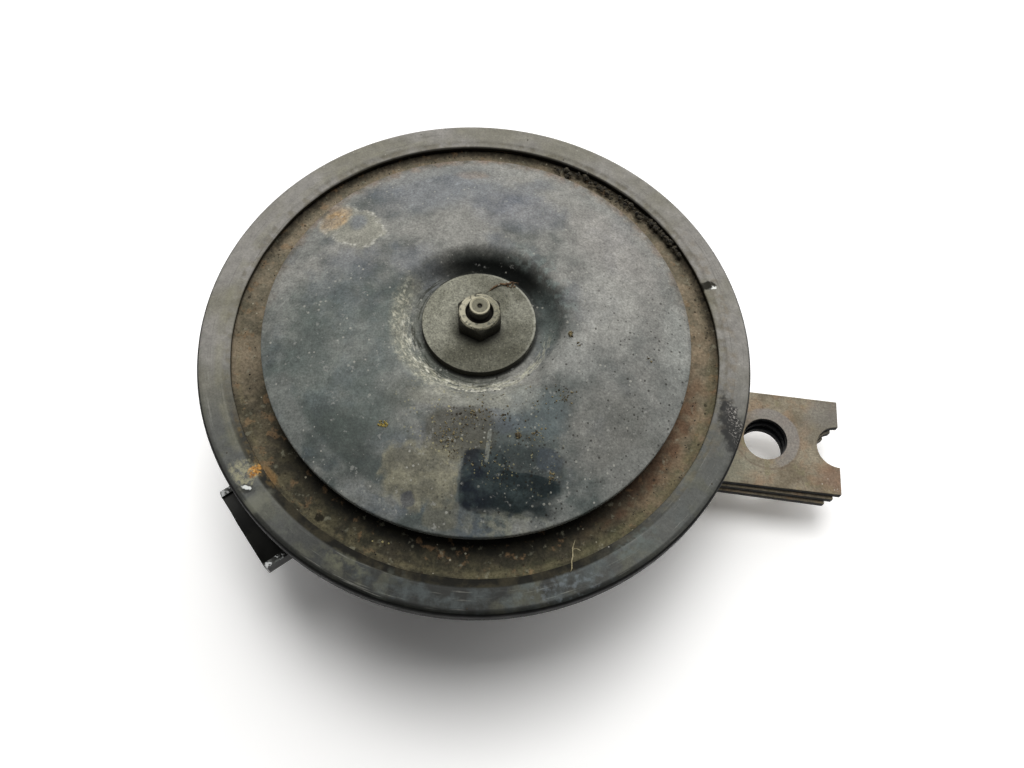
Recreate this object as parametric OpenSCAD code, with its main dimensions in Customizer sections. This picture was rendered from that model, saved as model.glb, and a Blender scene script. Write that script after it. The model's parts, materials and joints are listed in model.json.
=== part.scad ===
// Disc horn: a round electric car horn with a resonator disc, a contact breaker and a three-leaf bracket.
// Z runs along the horn's axis from the end of the rear stud up to the striker stem, and X along the bracket.

/* [Rear stud] */
// Thread radius of the rear stud
stud_r = 4; // [3:0.5:5]
// Free end of the rear stud behind its nut
stud_proud = 2.5; // [1:0.5:6]
// Height of the rear nut
stud_nut_h = 6.5; // [5:0.5:8]
// Rear nut across its flats
stud_nut_flats = 13; // [11:0.5:17]
// Thickness of the lock washer
lock_washer_t = 1.9; // [1:0.1:2.5]
// Outer radius of the lock washer
lock_washer_r = 7.2; // [6:0.1:8.5]

/* [Bracket] */
// Thickness of one bracket leaf
leaf_t = 1.7; // [1:0.1:2.5]
// Width of the bracket leaves
leaf_w = 23.3; // [18:0.1:30]
// Radius of the fixing hole in the leaves
fix_hole_r = 5; // [3:0.1:6]
// Distance of the fixing hole from the horn's axis
fix_hole_x = 67.4; // [62:0.2:75]
// Distance from the fixing hole to the centre of the end notch
notch_pitch = 17; // [14:0.5:25]
// How far the front leaf runs past the centre of its end notch
leaf_past_notch = 0.1; // [0:0.1:2]
// How much shorter each leaf is than the one in front of it
leaf_step = 1.3; // [0:0.1:2]

/* [Clamp ring] */
// Outer radius of the ring
ring_r = 55; // [52:0.5:58]
// Sheet thickness of the ring
ring_t = 1; // [0.8:0.1:1.2]
// Width of the ring's front face
ring_face_w = 6.6; // [6:0.1:7]
// Width of the low lip round the ring's inner edge
ring_lip_w = 1.2; // [0.8:0.1:2]
// Drop of that lip below the front face
ring_lip_drop = 0.35; // [0.1:0.05:0.5]
// Rise of the front face towards the inner edge
ring_rise = 0.35; // [0:0.05:0.4]
// Radius of the ring's rounded outer corner
ring_corner_r = 1.2; // [0.6:0.1:1.6]
// Reach of the lip that is rolled behind the flange
ring_back_w = 3.8; // [2:0.1:4]

/* [Rear housing] */
// Width of the flat flange that the gaskets seat on
seat_w = 4.7; // [4:0.1:5]
// Radius of the bend from the flange into the cup's wall
cup_mouth_r = 2.6; // [2.2:0.1:2.8]
// Sheet thickness of the cup
cup_t = 1.2; // [0.8:0.1:1.6]
// Height of the cup from its rear face to its flange
cup_h = 27.6; // [27:0.1:32]
// Radius of the rounded rear corner
cup_corner_r = 9; // [7:0.5:10]
// Radius of the raised pad that the bracket seats on
pad_r = 15; // [14:0.1:15.2]
// Height of that pad
pad_h = 1.5; // [1.4:0.1:2]
// Width of the pad's sloping side
pad_slope_w = 1.8; // [1.4:0.1:2]

/* [Diaphragm] */
// Sheet thickness of the diaphragm
diaphragm_t = 0.5; // [0.3:0.05:0.6]
// Thickness of each gasket
gasket_t = 0.4; // [0.3:0.05:0.6]
// Depth of the step inside the clamped edge
diaphragm_step = 0.5; // [0.3:0.1:0.6]
// Width of that step's slope
diaphragm_step_w = 0.9; // [0.6:0.1:1.1]
// Height from the foot of that step to the flat centre
diaphragm_rise = 1.9; // [1.7:0.1:2.1]
// Radius of the flat centre
diaphragm_flat_r = 16; // [14:0.5:18]

/* [Resonator disc] */
// Radius of the disc
disc_r = 42; // [38:0.5:43]
// Sheet thickness of the disc
disc_t = 1.5; // [1:0.1:1.8]
// Radius of the flat seat in the middle
disc_seat_r = 12.9; // [12.2:0.1:14]
// Radius of the crest round the central bowl
disc_crest_r = 18; // [17:0.5:22]
// Height of the crest above the seat
disc_crest_h = 2.7; // [1.5:0.1:4]
// Drop from the crest to the outer edge
disc_fall = 3.9; // [2:0.1:4.2]
// Radius of the round plate washer
washer_r = 11.05; // [9:0.05:12]
// Thickness of that washer
washer_t = 1.8; // [1:0.1:2.5]

/* [Striker] */
// Thread radius of the stem
stem_r = 2.5; // [2:0.1:3]
// Free end of the stem beyond its nut
stem_proud = 2.1; // [1:0.1:4]
// Height of the stem nut
stem_nut_h = 4; // [3:0.1:5]
// Stem nut across its flats
stem_nut_flats = 8; // [7:0.5:10]
// Depth of the stem in the armature
stem_depth = 8; // [5:0.5:9]
// Radius of the spacer bush under the disc
spacer_r = 6; // [4.5:0.5:8]
// Height of the spacer bush
spacer_h = 1.7; // [1.7:0.1:3]
// Radius of the washers that clamp the diaphragm
clamp_washer_r = 12; // [10:0.5:13]
// Thickness of those washers
clamp_washer_t = 1.5; // [1:0.1:2]
// Radius of the armature and of the core that attracts it
armature_r = 8; // [6:0.5:9]
// Length of the armature under its collar
armature_l = 8.5; // [8:0.5:10]
// Thickness of the armature's collar
collar_t = 2.5; // [2:0.1:3]
// Air gap between the armature and the core
air_gap = 1; // [0.9:0.1:1.6]

/* [Magnet] */
// Direction of the contact breaker round the axis, in degrees
magnet_angle = 270; // [255:5:285]
// Sheet thickness of the magnet frame
frame_t = 2.5; // [2:0.1:3]
// Width of the frame's strap
frame_w = 26; // [20:1:28]
// Length of each foot of the frame
foot_l = 11; // [9:0.5:12]
// Radius of the frame's rivets
frame_rivet_r = 1.6; // [1.2:0.1:2]
// Height of the frame rivets' heads
frame_rivet_head_h = 1.2; // [0.8:0.1:1.3]
// Outer radius of the bobbin's flanges
bobbin_r = 17; // [15:0.5:17]
// Wall of the bobbin
bobbin_t = 1; // [0.8:0.1:1.2]
// How far the winding stays inside the flanges
winding_inset = 0.5; // [0.3:0.1:2]

/* [Contact breaker] */
// Room for the contact breaker between the magnet frame and the armature's collar
breaker_room = 4.4; // [4.4:0.1:5]
// Distance of the breaker's rivets from the horn's axis
stack_x = 26.5; // [26:0.5:28]
// Half length of the clamped stack
stack_half_l = 4; // [3:0.5:4]
// Width of the clamped stack
stack_w = 10; // [8:0.5:10]
// Thickness of the lower insulator
lower_insulator_t = 1.4; // [1.3:0.1:1.6]
// Thickness of the top insulator
top_insulator_t = 0.8; // [0.6:0.1:1]
// Thickness of the clamp plate
clamp_plate_t = 0.8; // [0.6:0.1:0.8]
// Thickness of the moving contact's spring arm
moving_arm_t = 0.4; // [0.3:0.05:0.5]
// Width of both contact arms
arm_w = 6; // [4:0.5:7]
// Thickness of the fixed contact's arm
fixed_arm_t = 0.6; // [0.4:0.1:0.8]
// Gap between the armature's collar and the fixed contact's arm
fixed_arm_gap = 1.6; // [1.2:0.1:2]
// Distance of the contact points from the fixed arm's free end
contact_inset = 3.2; // [2:0.1:3.6]
// Radius of the contact points
contact_r = 1.5; // [1:0.1:1.8]
// Height of each contact point
contact_h = 0.8; // [0.6:0.05:0.9]
// Radius of the push peg
peg_r = 1.1; // [0.8:0.1:1.2]
// Radius of the breaker's rivets
stack_rivet_r = 1; // [0.8:0.1:1.2]
// Distance between the two breaker rivets
stack_rivet_pitch = 5.6; // [5:0.2:6]
// Height of the breaker rivets' heads
stack_rivet_head_h = 0.8; // [0.5:0.1:0.8]

/* [Adjusting screw] */
// Distance of the adjusting screw along the contact breaker
adjust_x = 20.5; // [20.4:0.1:21]
// Distance of the adjusting screw beside the contact breaker
adjust_y = 9; // [8.8:0.1:9.6]
// Thread radius of the adjusting screw
adjust_r = 2; // [1.5:0.1:2.2]
// Radius of the screw's head
adjust_head_r = 2.8; // [2.5:0.1:3]
// Height of the screw's head
adjust_head_h = 2.4; // [2:0.1:3]
// Width of the slot across the head
adjust_slot_w = 1; // [0.8:0.1:1.4]
// Radial thickness of the rubber grommet
grommet_wall = 1.2; // [0.8:0.1:1.3]
// Width of the grommet's inner flange
grommet_flange_w = 0.8; // [0.5:0.1:1]

/* [Connector] */
// Direction of the connector round the axis, in degrees
connector_angle = 222.5; // [215:0.5:235]
// Length of the connector outside the cup
connector_l = 9.7; // [9.5:0.1:14]
// Width of the connector
connector_w = 18.2; // [18:0.1:20]
// Height of the connector
connector_h = 10; // [9.6:0.2:12]
// Wall of the connector
connector_wall = 1.3; // [1:0.1:1.5]
// Height of the connector's middle above the cup's rear face
connector_rise = 14.5; // [14:0.5:17]
// How far the connector stands to the side of the line from the horn's axis
connector_side = 4.2; // [0:0.1:4.5]
// How far the connector narrows at each side towards its rear
connector_taper = 2.5; // [0:0.5:3]
// Height of the two guide rails on top
rail_h = 0.9; // [0.5:0.1:1.2]
// Width of the two guide rails
rail_w = 1.2; // [0.8:0.1:1.6]
// Width of each of the two ears that are riveted to the cup
ear_w = 4.5; // [4.5:0.1:6]
// Thickness of the flange with the ears
ear_t = 1.6; // [1.2:0.1:2]
// Thickness of the gasket under that flange
ear_gasket_t = 0.6; // [0.4:0.1:0.8]
// Width of the blade terminals
blade_w = 6.3; // [4.8:0.1:6.4]
// Thickness of the blade terminals
blade_t = 0.8; // [0.5:0.1:1]
// Distance between the two blades
blade_pitch = 9.5; // [9:0.1:9.8]
// Distance of the blades' tips behind the mouth
blade_inset = 2.2; // [1:0.1:4]
// Radius of the connector's rivets
ear_rivet_r = 1.2; // [1:0.1:1.3]
// Radius of the internal leads
lead_r = 0.6; // [0.4:0.1:0.8]

/* [Fits] */
// Radial gap between a thread and what is screwed or slipped on it
thread_fit = 0.05; // [0.02:0.01:0.1]
// Radial gap round the stud in the bracket and round the adjusting screw's head
turn_fit = 0.08; // [0.04:0.01:0.1]
// Radial gap round a rivet in its holes
rivet_fit = 0.02; // [0.01:0.01:0.05]
// Gap between the armature and the hole that guides it
slide_fit = 0.4; // [0.3:0.05:0.5]
// Gap left between moulded or pressed pieces that pass through each other
loose_fit = 0.1; // [0.05:0.05:0.2]
// Gap between the flange's edge and the ring's wall
rim_fit = 0.4; // [0.2:0.05:0.6]
// Gap between the contact points at rest
rest_gap = 0.3; // [0.3:0.05:0.4]

/* [Hidden] */
$fn = 96;

// How far a cut reaches past the faces that it goes through
cut = 1;

// Radii from the ring inwards
flange_r = ring_r - ring_t - rim_fit;
seat_r = flange_r - seat_w;
cup_bore_r = seat_r - cup_mouth_r;
cup_r = cup_bore_r + cup_t;
ring_bore_r = ring_r - ring_face_w;
ring_back_r = flange_r - ring_back_w;
stud_hole_r = stud_r + thread_fit;
stem_hole_r = stem_r + thread_fit;

// Heights from the end of the rear stud upwards
stud_nut_z = stud_proud;
lock_washer_z = stud_nut_z + stud_nut_h;
leaf_z = lock_washer_z + lock_washer_t;
pad_z = leaf_z + 3 * leaf_t;
rear_x = pad_z + pad_h;
flange_z = rear_x + cup_h;
floor_z = rear_x + cup_t;
ring_back_z = flange_z - cup_t - ring_t;
clamp_z = flange_z + gasket_t;
front_gasket_z = clamp_z + diaphragm_t;
ring_inner_z = front_gasket_z + gasket_t;
ring_top_z = ring_inner_z + ring_t;

// Heights of the striker, from the flat centre of the diaphragm
centre_z = clamp_z - diaphragm_step + diaphragm_rise;
front_washer_z = centre_z + diaphragm_t;
spacer_z = front_washer_z + clamp_washer_t;
disc_z = spacer_z + spacer_h;
washer_z = disc_z + disc_t;
stem_nut_z = washer_z + washer_t;
stem_top_z = stem_nut_z + stem_nut_h + stem_proud;
rear_washer_z = centre_z - clamp_washer_t;
collar_z = rear_washer_z - collar_t;
stem_bottom_z = collar_z + collar_t - stem_depth;
armature_z = collar_z - armature_l;
core_top_z = armature_z - air_gap;

// Chamfers on the ends of the threads, and how steeply a nut's corners are chamfered
stud_chamfer = 0.7;
stem_chamfer = 0.5;
nut_chamfer_slope = 0.6;
stem_nut_turn = 10;
stud_nut_turn = 20;

// Radii of the rivets' heads as multiples of the rivets' own radii
frame_rivet_head_ratio = 2;
rivet_head_ratio = 1.8;

// How the disc's dome falls with the distance from its crest: 1 is a cone, 2 a parabola
dome_power = 1.6;

// Magnet: the core's collar fills the pad, so the bobbin rests on the collar and on the cup's floor
core_collar_z = pad_z + cup_t;
core_collar_edge = 2;
core_collar_r = pad_r - core_collar_edge;
frame_z = collar_z - breaker_room - frame_t;
bobbin_h = frame_z - floor_z;
bobbin_bore_r = armature_r + slide_fit;
winding_in_r = bobbin_bore_r + bobbin_t;
winding_r = bobbin_r - winding_inset;
leg_gap = 0.5;
leg_y = bobbin_r + leg_gap;
foot_y = leg_y + frame_t;
frame_rivet_y = foot_y + foot_l / 2;
frame_rivet_head_r = frame_rivet_head_ratio * frame_rivet_r;
shelf_reach = stack_x + stack_half_l;
shelf_edge = 1.5;
shelf_half_w = adjust_y + adjust_r + shelf_edge;

// Contact breaker, from the shelf upwards
shelf_z = frame_z + frame_t;
moving_arm_z = shelf_z + lower_insulator_t;
moving_contact_z = moving_arm_z + moving_arm_t;
fixed_contact_z = moving_contact_z + contact_h + rest_gap;
fixed_arm_z = fixed_contact_z + contact_h;
top_insulator_z = fixed_arm_z + fixed_arm_t;
clamp_plate_z = top_insulator_z + top_insulator_t;
stack_rivet_head_r = rivet_head_ratio * stack_rivet_r;

// Contact breaker, from the armature outwards, with its small side gaps
arm_gap = 0.5;
peg_edge = 0.1;
peg_cover = 0.2;
flex_x = stack_x - stack_half_l;
moving_arm_end_x = armature_r + arm_gap;
peg_x = moving_arm_end_x + peg_r + peg_edge;
peg_h = collar_z - loose_fit - moving_contact_z;
collar_r = peg_x + peg_r + peg_cover;
fixed_arm_end_x = collar_r + fixed_arm_gap;
contact_x = fixed_arm_end_x + contact_inset;

// Adjusting screw: its head turns in the grommet and its tip bears on the fixed arm's lug
screw_tip_z = fixed_arm_z - loose_fit;
grommet_bore_r = adjust_head_r + turn_fit;
grommet_hole_r = grommet_bore_r + grommet_wall;
grommet_flange_t = 1;

// Connector, in its own frame: X outwards, Y across, Z up, with the steps to its ears, neck and tails
ear_flange_edge = 0.75;
neck_step = 2;
neck_l = 4;
tail_l = 3.5;
connector_z = rear_x + connector_rise;
connector_reach = cup_r + connector_l;
ear_x = cup_r + ear_gasket_t;
cavity_x = ear_x + ear_t;
ear_flange_w = connector_w + 2 * ear_w;
ear_flange_h = connector_h + 2 * ear_flange_edge;
inner_w = connector_w - 2 * connector_wall;
inner_h = connector_h - 2 * connector_wall;
straight_side_h = 2;
neck_w = connector_w - 2 * neck_step;
neck_h = inner_h;
neck_x = cup_r - neck_l;
blade_tip_x = connector_reach - blade_inset;
blade_tail_x = neck_x - tail_l;
tail_h = blade_w / 2;
ear_rivet_head_r = rivet_head_ratio * ear_rivet_r;
ear_rivet_head_h = 0.8;

// Internal leads: straight stubs at their ends, and the places where two of them leave the winding
lead_stub = 2.5;
lead_gap = 0.1;
lead_drop = 3;
lead_clear = 2;
lead_z = connector_z - lead_drop;
supply_lead_angle = -35;
coil_lead_angle = -20;
coil_lead_x = stack_x - lead_clear;
coil_lead_y = -shelf_half_w - lead_clear;
return_lead_y = -12;

// Points along an arc, from one angle to another
function arc(centre, radius, from, to, steps) = [
    for (i = [0 : steps])
        let (a = from + (to - from) * i / steps)
            centre + radius * [cos(a), sin(a)]
];

function reversed(points) = [for (i = [len(points) - 1 : -1 : 0]) points[i]];

function raised(points, dz) = [for (p = points) p + [0, dz]];

// Sheet of one thickness that follows a line of [radius, height] points on its front face
module sheet(points, thickness) {
    rotate_extrude() polygon(concat(points, reversed(raised(points, -thickness))));
}

// Round hole through a plate that lies between two heights
module through_hole(radius, bottom, thickness) {
    translate([0, 0, bottom - cut]) cylinder(h = thickness + 2 * cut, r = radius);
}

module ring_plate(inner, outer, thickness) {
    difference() {
        cylinder(h = thickness, r = outer);
        through_hole(inner, 0, thickness);
    }
}

// Hexagon nut with both faces chamfered
module hex_nut(flats, height, bore) {
    corner_r = flats / 2 / cos(30);
    chamfer = (corner_r - flats / 2) * nut_chamfer_slope;
    difference() {
        intersection() {
            cylinder(h = height, r = corner_r, $fn = 6);
            rotate_extrude() polygon([
                [0, 0], [flats / 2, 0], [corner_r, chamfer], [corner_r, height - chamfer],
                [flats / 2, height], [0, height]
            ]);
        }
        through_hole(bore, 0, height);
    }
}

// Threaded rod with a chamfer at its upper end
module rod(radius, length, chamfer) {
    rotate_extrude() polygon([
        [0, 0], [radius, 0], [radius, length - chamfer], [radius - chamfer, length], [0, length]
    ]);
}

// Rivet along Z with a domed head at each end of its grip
module rivet(radius, grip, head_r, head_h) {
    dome_r = (head_r * head_r + head_h * head_h) / (2 * head_h);
    cylinder(h = grip, r = radius);
    for (side = [0, 1])
        translate([0, 0, side * grip]) mirror([0, 0, 1 - side]) intersection() {
            translate([0, 0, head_h - dome_r]) sphere(r = dome_r);
            cylinder(h = head_h, r = head_r);
        }
}

// Eight-sided wire through a list of points; no stretch of it runs along the reference direction
function unit(v) = v / norm(v);

function wire_direction(points, i) =
    i == 0 ? unit(points[1] - points[0])
    : i == len(points) - 1 ? unit(points[i] - points[i - 1])
    : unit(unit(points[i] - points[i - 1]) + unit(points[i + 1] - points[i]));

function wire_ring(point, direction, reference, radius) =
    let (a = unit(cross(direction, reference)), b = cross(direction, a))
    [for (k = [0 : 7]) point + radius * (cos(45 * k) * a + sin(45 * k) * b)];

module wire(points, radius, reference) {
    last = len(points) - 1;
    corners = [
        for (i = [0 : last]) each wire_ring(points[i], wire_direction(points, i), reference, radius)
    ];
    sides = [
        for (i = [0 : last - 1], k = [0 : 7])
            let (a = 8 * i + k, b = 8 * i + (k + 1) % 8)
                each [[a, b, b + 8], [a, b + 8, a + 8]]
    ];
    polyhedron(corners, concat(sides, [[7, 6, 5, 4, 3, 2, 1, 0]], [[for (k = [0 : 7]) 8 * last + k]]));
}

// The magnet and the contact breaker have their own frame: X along the breaker, away from the axis
module in_magnet_frame() {
    rotate([0, 0, magnet_angle]) children();
}

// Pieces of the rear housing

module cup_outline() {
    corner = [cup_r - cup_corner_r, rear_x + cup_corner_r];
    mouth = [seat_r, flange_z - cup_mouth_r];
    polygon(concat(
        arc(mouth, cup_mouth_r, 180, 90, 8),
        [[flange_r, flange_z], [flange_r, flange_z - cup_t]],
        arc(mouth, cup_mouth_r - cup_t, 90, 180, 8),
        arc(corner, cup_corner_r, 0, -90, 12),
        [[pad_r + pad_slope_w, rear_x], [pad_r, pad_z], [stud_hole_r, pad_z], [stud_hole_r, core_collar_z]],
        [[pad_r - cup_t / 2, core_collar_z], [pad_r + pad_slope_w - cup_t / 2, floor_z]],
        arc(corner, cup_corner_r - cup_t, -90, 0, 12)
    ));
}

module rear_housing() {
    color("dimgray") difference() {
        rotate_extrude() cup_outline();
        in_connector_frame() window(neck_x, ear_x, loose_fit);
        ear_rivet_holes();
        in_magnet_frame() {
            for (side = [-1, 1]) translate([0, side * frame_rivet_y, 0])
                through_hole(frame_rivet_r + rivet_fit, rear_x, cup_t);
            translate([adjust_x, adjust_y, 0]) through_hole(grommet_hole_r, rear_x, cup_t);
        }
    }
}

module clamp_rim() {
    wall_r = ring_r - ring_t;
    lip_r = ring_bore_r + ring_lip_w;
    lip_z = ring_top_z + ring_rise - ring_lip_drop;
    lip_round = 0.5;
    lip_slope_w = 0.15;
    color("black") rotate_extrude() polygon(concat(
        [[ring_back_r, ring_back_z]],
        arc([ring_r - ring_corner_r, ring_back_z + ring_corner_r], ring_corner_r, -90, 0, 6),
        arc([ring_r - ring_corner_r, ring_top_z - ring_corner_r], ring_corner_r, 0, 90, 6),
        [[lip_r + lip_slope_w, ring_top_z + ring_rise], [lip_r, lip_z]],
        arc([ring_bore_r + lip_round, lip_z - lip_round], lip_round, 90, 180, 4),
        [[ring_bore_r, ring_inner_z], [wall_r, ring_inner_z], [wall_r, ring_back_z + ring_t]],
        [[ring_back_r, ring_back_z + ring_t]]
    ));
}

module front_gasket() {
    color("saddlebrown") translate([0, 0, front_gasket_z]) ring_plate(seat_r, flange_r, gasket_t);
}

module rear_gasket() {
    color("saddlebrown") translate([0, 0, flange_z]) ring_plate(seat_r, flange_r, gasket_t);
}

module diaphragm() {
    step_inset = 0.4;
    foot_z = front_gasket_z - diaphragm_step;
    step_r = seat_r - step_inset;
    color("sienna") sheet([
        [flange_r, front_gasket_z], [step_r, front_gasket_z], [step_r - diaphragm_step_w, foot_z],
        [diaphragm_flat_r, foot_z + diaphragm_rise], [stem_hole_r, foot_z + diaphragm_rise]
    ], diaphragm_t);
}

// Pieces of the striker, from the front

// Height of the disc's front face above its seat: a bowl wall up to the crest, then a dome down to the edge
function bowl_rise(t) = disc_crest_h * (1 - cos(180 * t)) / 2;
function dome_fall(t) = disc_crest_h - disc_fall * pow(t, dome_power);

module resonator_disc() {
    bowl_steps = 8;
    dome_steps = 14;
    top_z = disc_z + disc_t;
    color("slategray") sheet(concat(
        [[stem_hole_r, top_z]],
        [for (i = [0 : bowl_steps]) let (t = i / bowl_steps)
            [disc_seat_r + t * (disc_crest_r - disc_seat_r), top_z + bowl_rise(t)]],
        [for (i = [1 : dome_steps]) let (t = i / dome_steps)
            [disc_crest_r + t * (disc_r - disc_crest_r), top_z + dome_fall(t)]]
    ), disc_t);
}

module resonator_washer() {
    edge = 0.3;
    color("gray") translate([0, 0, washer_z]) rotate_extrude() polygon([
        [stem_hole_r, 0], [washer_r, 0], [washer_r, washer_t - edge], [washer_r - edge, washer_t],
        [stem_hole_r, washer_t]
    ]);
}

module stem_nut() {
    color("gray") translate([0, 0, stem_nut_z]) rotate([0, 0, stem_nut_turn])
        hex_nut(stem_nut_flats, stem_nut_h, stem_hole_r);
}

module stem() {
    dimple_r = 0.5;
    dimple_depth = 0.4;
    color("dimgray") difference() {
        translate([0, 0, stem_bottom_z]) rod(stem_r, stem_top_z - stem_bottom_z, stem_chamfer);
        translate([0, 0, stem_top_z - dimple_depth]) cylinder(h = dimple_depth + cut, r = dimple_r);
    }
}

module spacer_bush() {
    color("gray") translate([0, 0, spacer_z]) ring_plate(stem_hole_r, spacer_r, spacer_h);
}

module front_washer() {
    color("gray") translate([0, 0, front_washer_z]) ring_plate(stem_hole_r, clamp_washer_r, clamp_washer_t);
}

module rear_washer() {
    color("gray") translate([0, 0, rear_washer_z]) ring_plate(stem_hole_r, clamp_washer_r, clamp_washer_t);
}

module armature() {
    color("silver") difference() {
        union() {
            translate([0, 0, armature_z]) cylinder(h = armature_l + collar_t, r = armature_r);
            translate([0, 0, collar_z]) cylinder(h = collar_t, r = collar_r);
        }
        translate([0, 0, stem_bottom_z]) cylinder(h = stem_depth + cut, r = stem_hole_r);
    }
}

// Pieces of the magnet

module core_stud() {
    color("silver") translate([0, 0, core_collar_z]) {
        cylinder(h = core_top_z - core_collar_z, r = armature_r);
        cylinder(h = floor_z - core_collar_z, r = core_collar_r);
        mirror([0, 0, 1]) rod(stud_r, core_collar_z, stud_chamfer);
    }
}

module magnet_frame() {
    half_w = frame_w / 2;
    color("darkgray") in_magnet_frame() difference() {
        union() {
            translate([-half_w, -foot_y, frame_z]) cube([frame_w, 2 * foot_y, frame_t]);
            translate([0, -shelf_half_w, frame_z]) cube([shelf_reach, 2 * shelf_half_w, frame_t]);
            for (side = [0, 1]) mirror([0, side, 0]) translate([-half_w, leg_y, floor_z]) {
                cube([frame_w, frame_t, frame_z - floor_z]);
                cube([frame_w, frame_t + foot_l, frame_t]);
            }
        }
        through_hole(bobbin_bore_r, frame_z, frame_t);
        translate([adjust_x, adjust_y, 0]) through_hole(adjust_r + thread_fit, frame_z, frame_t);
        for (side = [-1, 1]) {
            translate([0, side * frame_rivet_y, 0]) through_hole(frame_rivet_r + rivet_fit, floor_z, frame_t);
            stack_rivet_place(side) through_hole(stack_rivet_r + rivet_fit, frame_z, frame_t);
        }
    }
}

module frame_rivets() {
    color("lightgray") in_magnet_frame() for (side = [-1, 1]) translate([0, side * frame_rivet_y, rear_x])
        rivet(frame_rivet_r, cup_t + frame_t, frame_rivet_head_r, frame_rivet_head_h);
}

module coil_bobbin() {
    color("ivory") translate([0, 0, floor_z]) {
        ring_plate(bobbin_bore_r, winding_in_r, bobbin_h);
        for (z = [0, bobbin_h - bobbin_t])
            translate([0, 0, z]) ring_plate(bobbin_bore_r, bobbin_r, bobbin_t);
    }
}

module coil_winding() {
    color("peru") translate([0, 0, floor_z + bobbin_t])
        ring_plate(winding_in_r, winding_r, bobbin_h - 2 * bobbin_t);
}

// Pieces of the contact breaker

module stack_rivet_place(side) {
    translate([stack_x, side * stack_rivet_pitch / 2, 0]) children();
}

// Flat piece clamped in the stack, with its two rivet holes
module stack_plate(z, thickness) {
    difference() {
        translate([flex_x, -stack_w / 2, z]) cube([2 * stack_half_l, stack_w, thickness]);
        for (side = [-1, 1]) stack_rivet_place(side) through_hole(stack_rivet_r + rivet_fit, z, thickness);
    }
}

// Arm that leaves the stack towards the armature
module arm(end_x, z, thickness) {
    translate([end_x, -arm_w / 2, z]) cube([flex_x - end_x, arm_w, thickness]);
}

module lower_insulator() {
    color("burlywood") in_magnet_frame() stack_plate(shelf_z, lower_insulator_t);
}

module moving_arm() {
    color("goldenrod") in_magnet_frame() {
        stack_plate(moving_arm_z, moving_arm_t);
        arm(moving_arm_end_x, moving_arm_z, moving_arm_t);
    }
}

module contact_point(z, facing) {
    edge = 0.2;
    translate([contact_x, 0, z]) mirror([0, 0, facing > 0 ? 0 : 1]) rotate_extrude() polygon([
        [0, 0], [contact_r, 0], [contact_r, contact_h - edge], [contact_r - edge, contact_h], [0, contact_h]
    ]);
}

module moving_contact() {
    color("silver") in_magnet_frame() contact_point(moving_contact_z, 1);
}

module push_peg() {
    color("saddlebrown") in_magnet_frame() translate([peg_x, 0, moving_contact_z])
        cylinder(h = peg_h, r = peg_r);
}

module middle_insulator() {
    color("burlywood") in_magnet_frame() stack_plate(moving_contact_z, fixed_arm_z - moving_contact_z);
}

module fixed_arm() {
    color("goldenrod") in_magnet_frame() {
        stack_plate(fixed_arm_z, fixed_arm_t);
        arm(fixed_arm_end_x, fixed_arm_z, fixed_arm_t);
        translate([adjust_x - adjust_r, 0, fixed_arm_z])
            cube([2 * adjust_r, adjust_y + adjust_r, fixed_arm_t]);
    }
}

module fixed_contact() {
    color("silver") in_magnet_frame() contact_point(fixed_arm_z, -1);
}

module top_insulator() {
    color("burlywood") in_magnet_frame() stack_plate(top_insulator_z, top_insulator_t);
}

module clamp_plate() {
    color("darkgray") in_magnet_frame() stack_plate(clamp_plate_z, clamp_plate_t);
}

module breaker_rivets() {
    grip = clamp_plate_z + clamp_plate_t - frame_z;
    color("lightgray") in_magnet_frame() for (side = [-1, 1])
        stack_rivet_place(side) translate([0, 0, frame_z])
            rivet(stack_rivet_r, grip, stack_rivet_head_r, stack_rivet_head_h);
}

module adjusting_screw() {
    slot_depth = adjust_head_h / 2;
    tip_chamfer = 0.5;
    color("goldenrod") in_magnet_frame() translate([adjust_x, adjust_y, rear_x]) difference() {
        union() {
            cylinder(h = adjust_head_h, r = adjust_head_r);
            rod(adjust_r, screw_tip_z - rear_x, tip_chamfer);
        }
        translate([-adjust_head_r - cut, -adjust_slot_w / 2, -cut])
            cube([2 * (adjust_head_r + cut), adjust_slot_w, slot_depth + cut]);
    }
}

module adjuster_grommet() {
    color("black") in_magnet_frame() translate([adjust_x, adjust_y, rear_x]) {
        ring_plate(grommet_bore_r, grommet_hole_r, cup_t + grommet_flange_t);
        translate([0, 0, cup_t])
            ring_plate(grommet_bore_r, grommet_hole_r + grommet_flange_w, grommet_flange_t);
    }
}

// Pieces of the connector

module in_connector_frame() {
    rotate([0, 0, connector_angle]) translate([0, connector_side, connector_z]) children();
}

// Round pieces of the connector are centred on the horn's axis
module on_axis() {
    translate([0, -connector_side, 0]) children();
}

function ear_rivet_angle(side) = asin((connector_side + side * (connector_w + ear_w) / 2) / cavity_x);

// Place of a rivet through an ear: on the cup's inner face, pointing outwards
module ear_rivet_place(side) {
    rotate([0, 0, connector_angle + ear_rivet_angle(side)])
        translate([cup_bore_r, 0, connector_z]) rotate([0, 90, 0]) children();
}

module ear_rivet_holes() {
    for (side = [-1, 1]) ear_rivet_place(side)
        through_hole(ear_rivet_r + rivet_fit, 0, cup_t + ear_gasket_t + ear_t);
}

// Block through the cup's wall, grown by a gap on every side
module window(from_x, to_x, gap) {
    translate([from_x, -neck_w / 2 - gap, -neck_h / 2 - gap])
        cube([to_x - from_x, neck_w + 2 * gap, neck_h + 2 * gap]);
}

// Slice of a tube that lies on the cup's wall behind the connector
module saddle(inner, outer) {
    intersection() {
        on_axis() translate([0, 0, -ear_flange_h / 2]) ring_plate(inner, outer, ear_flange_h);
        translate([0, -ear_flange_w / 2, -ear_flange_h]) cube([outer + cut, ear_flange_w, 2 * ear_flange_h]);
    }
}

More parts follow.
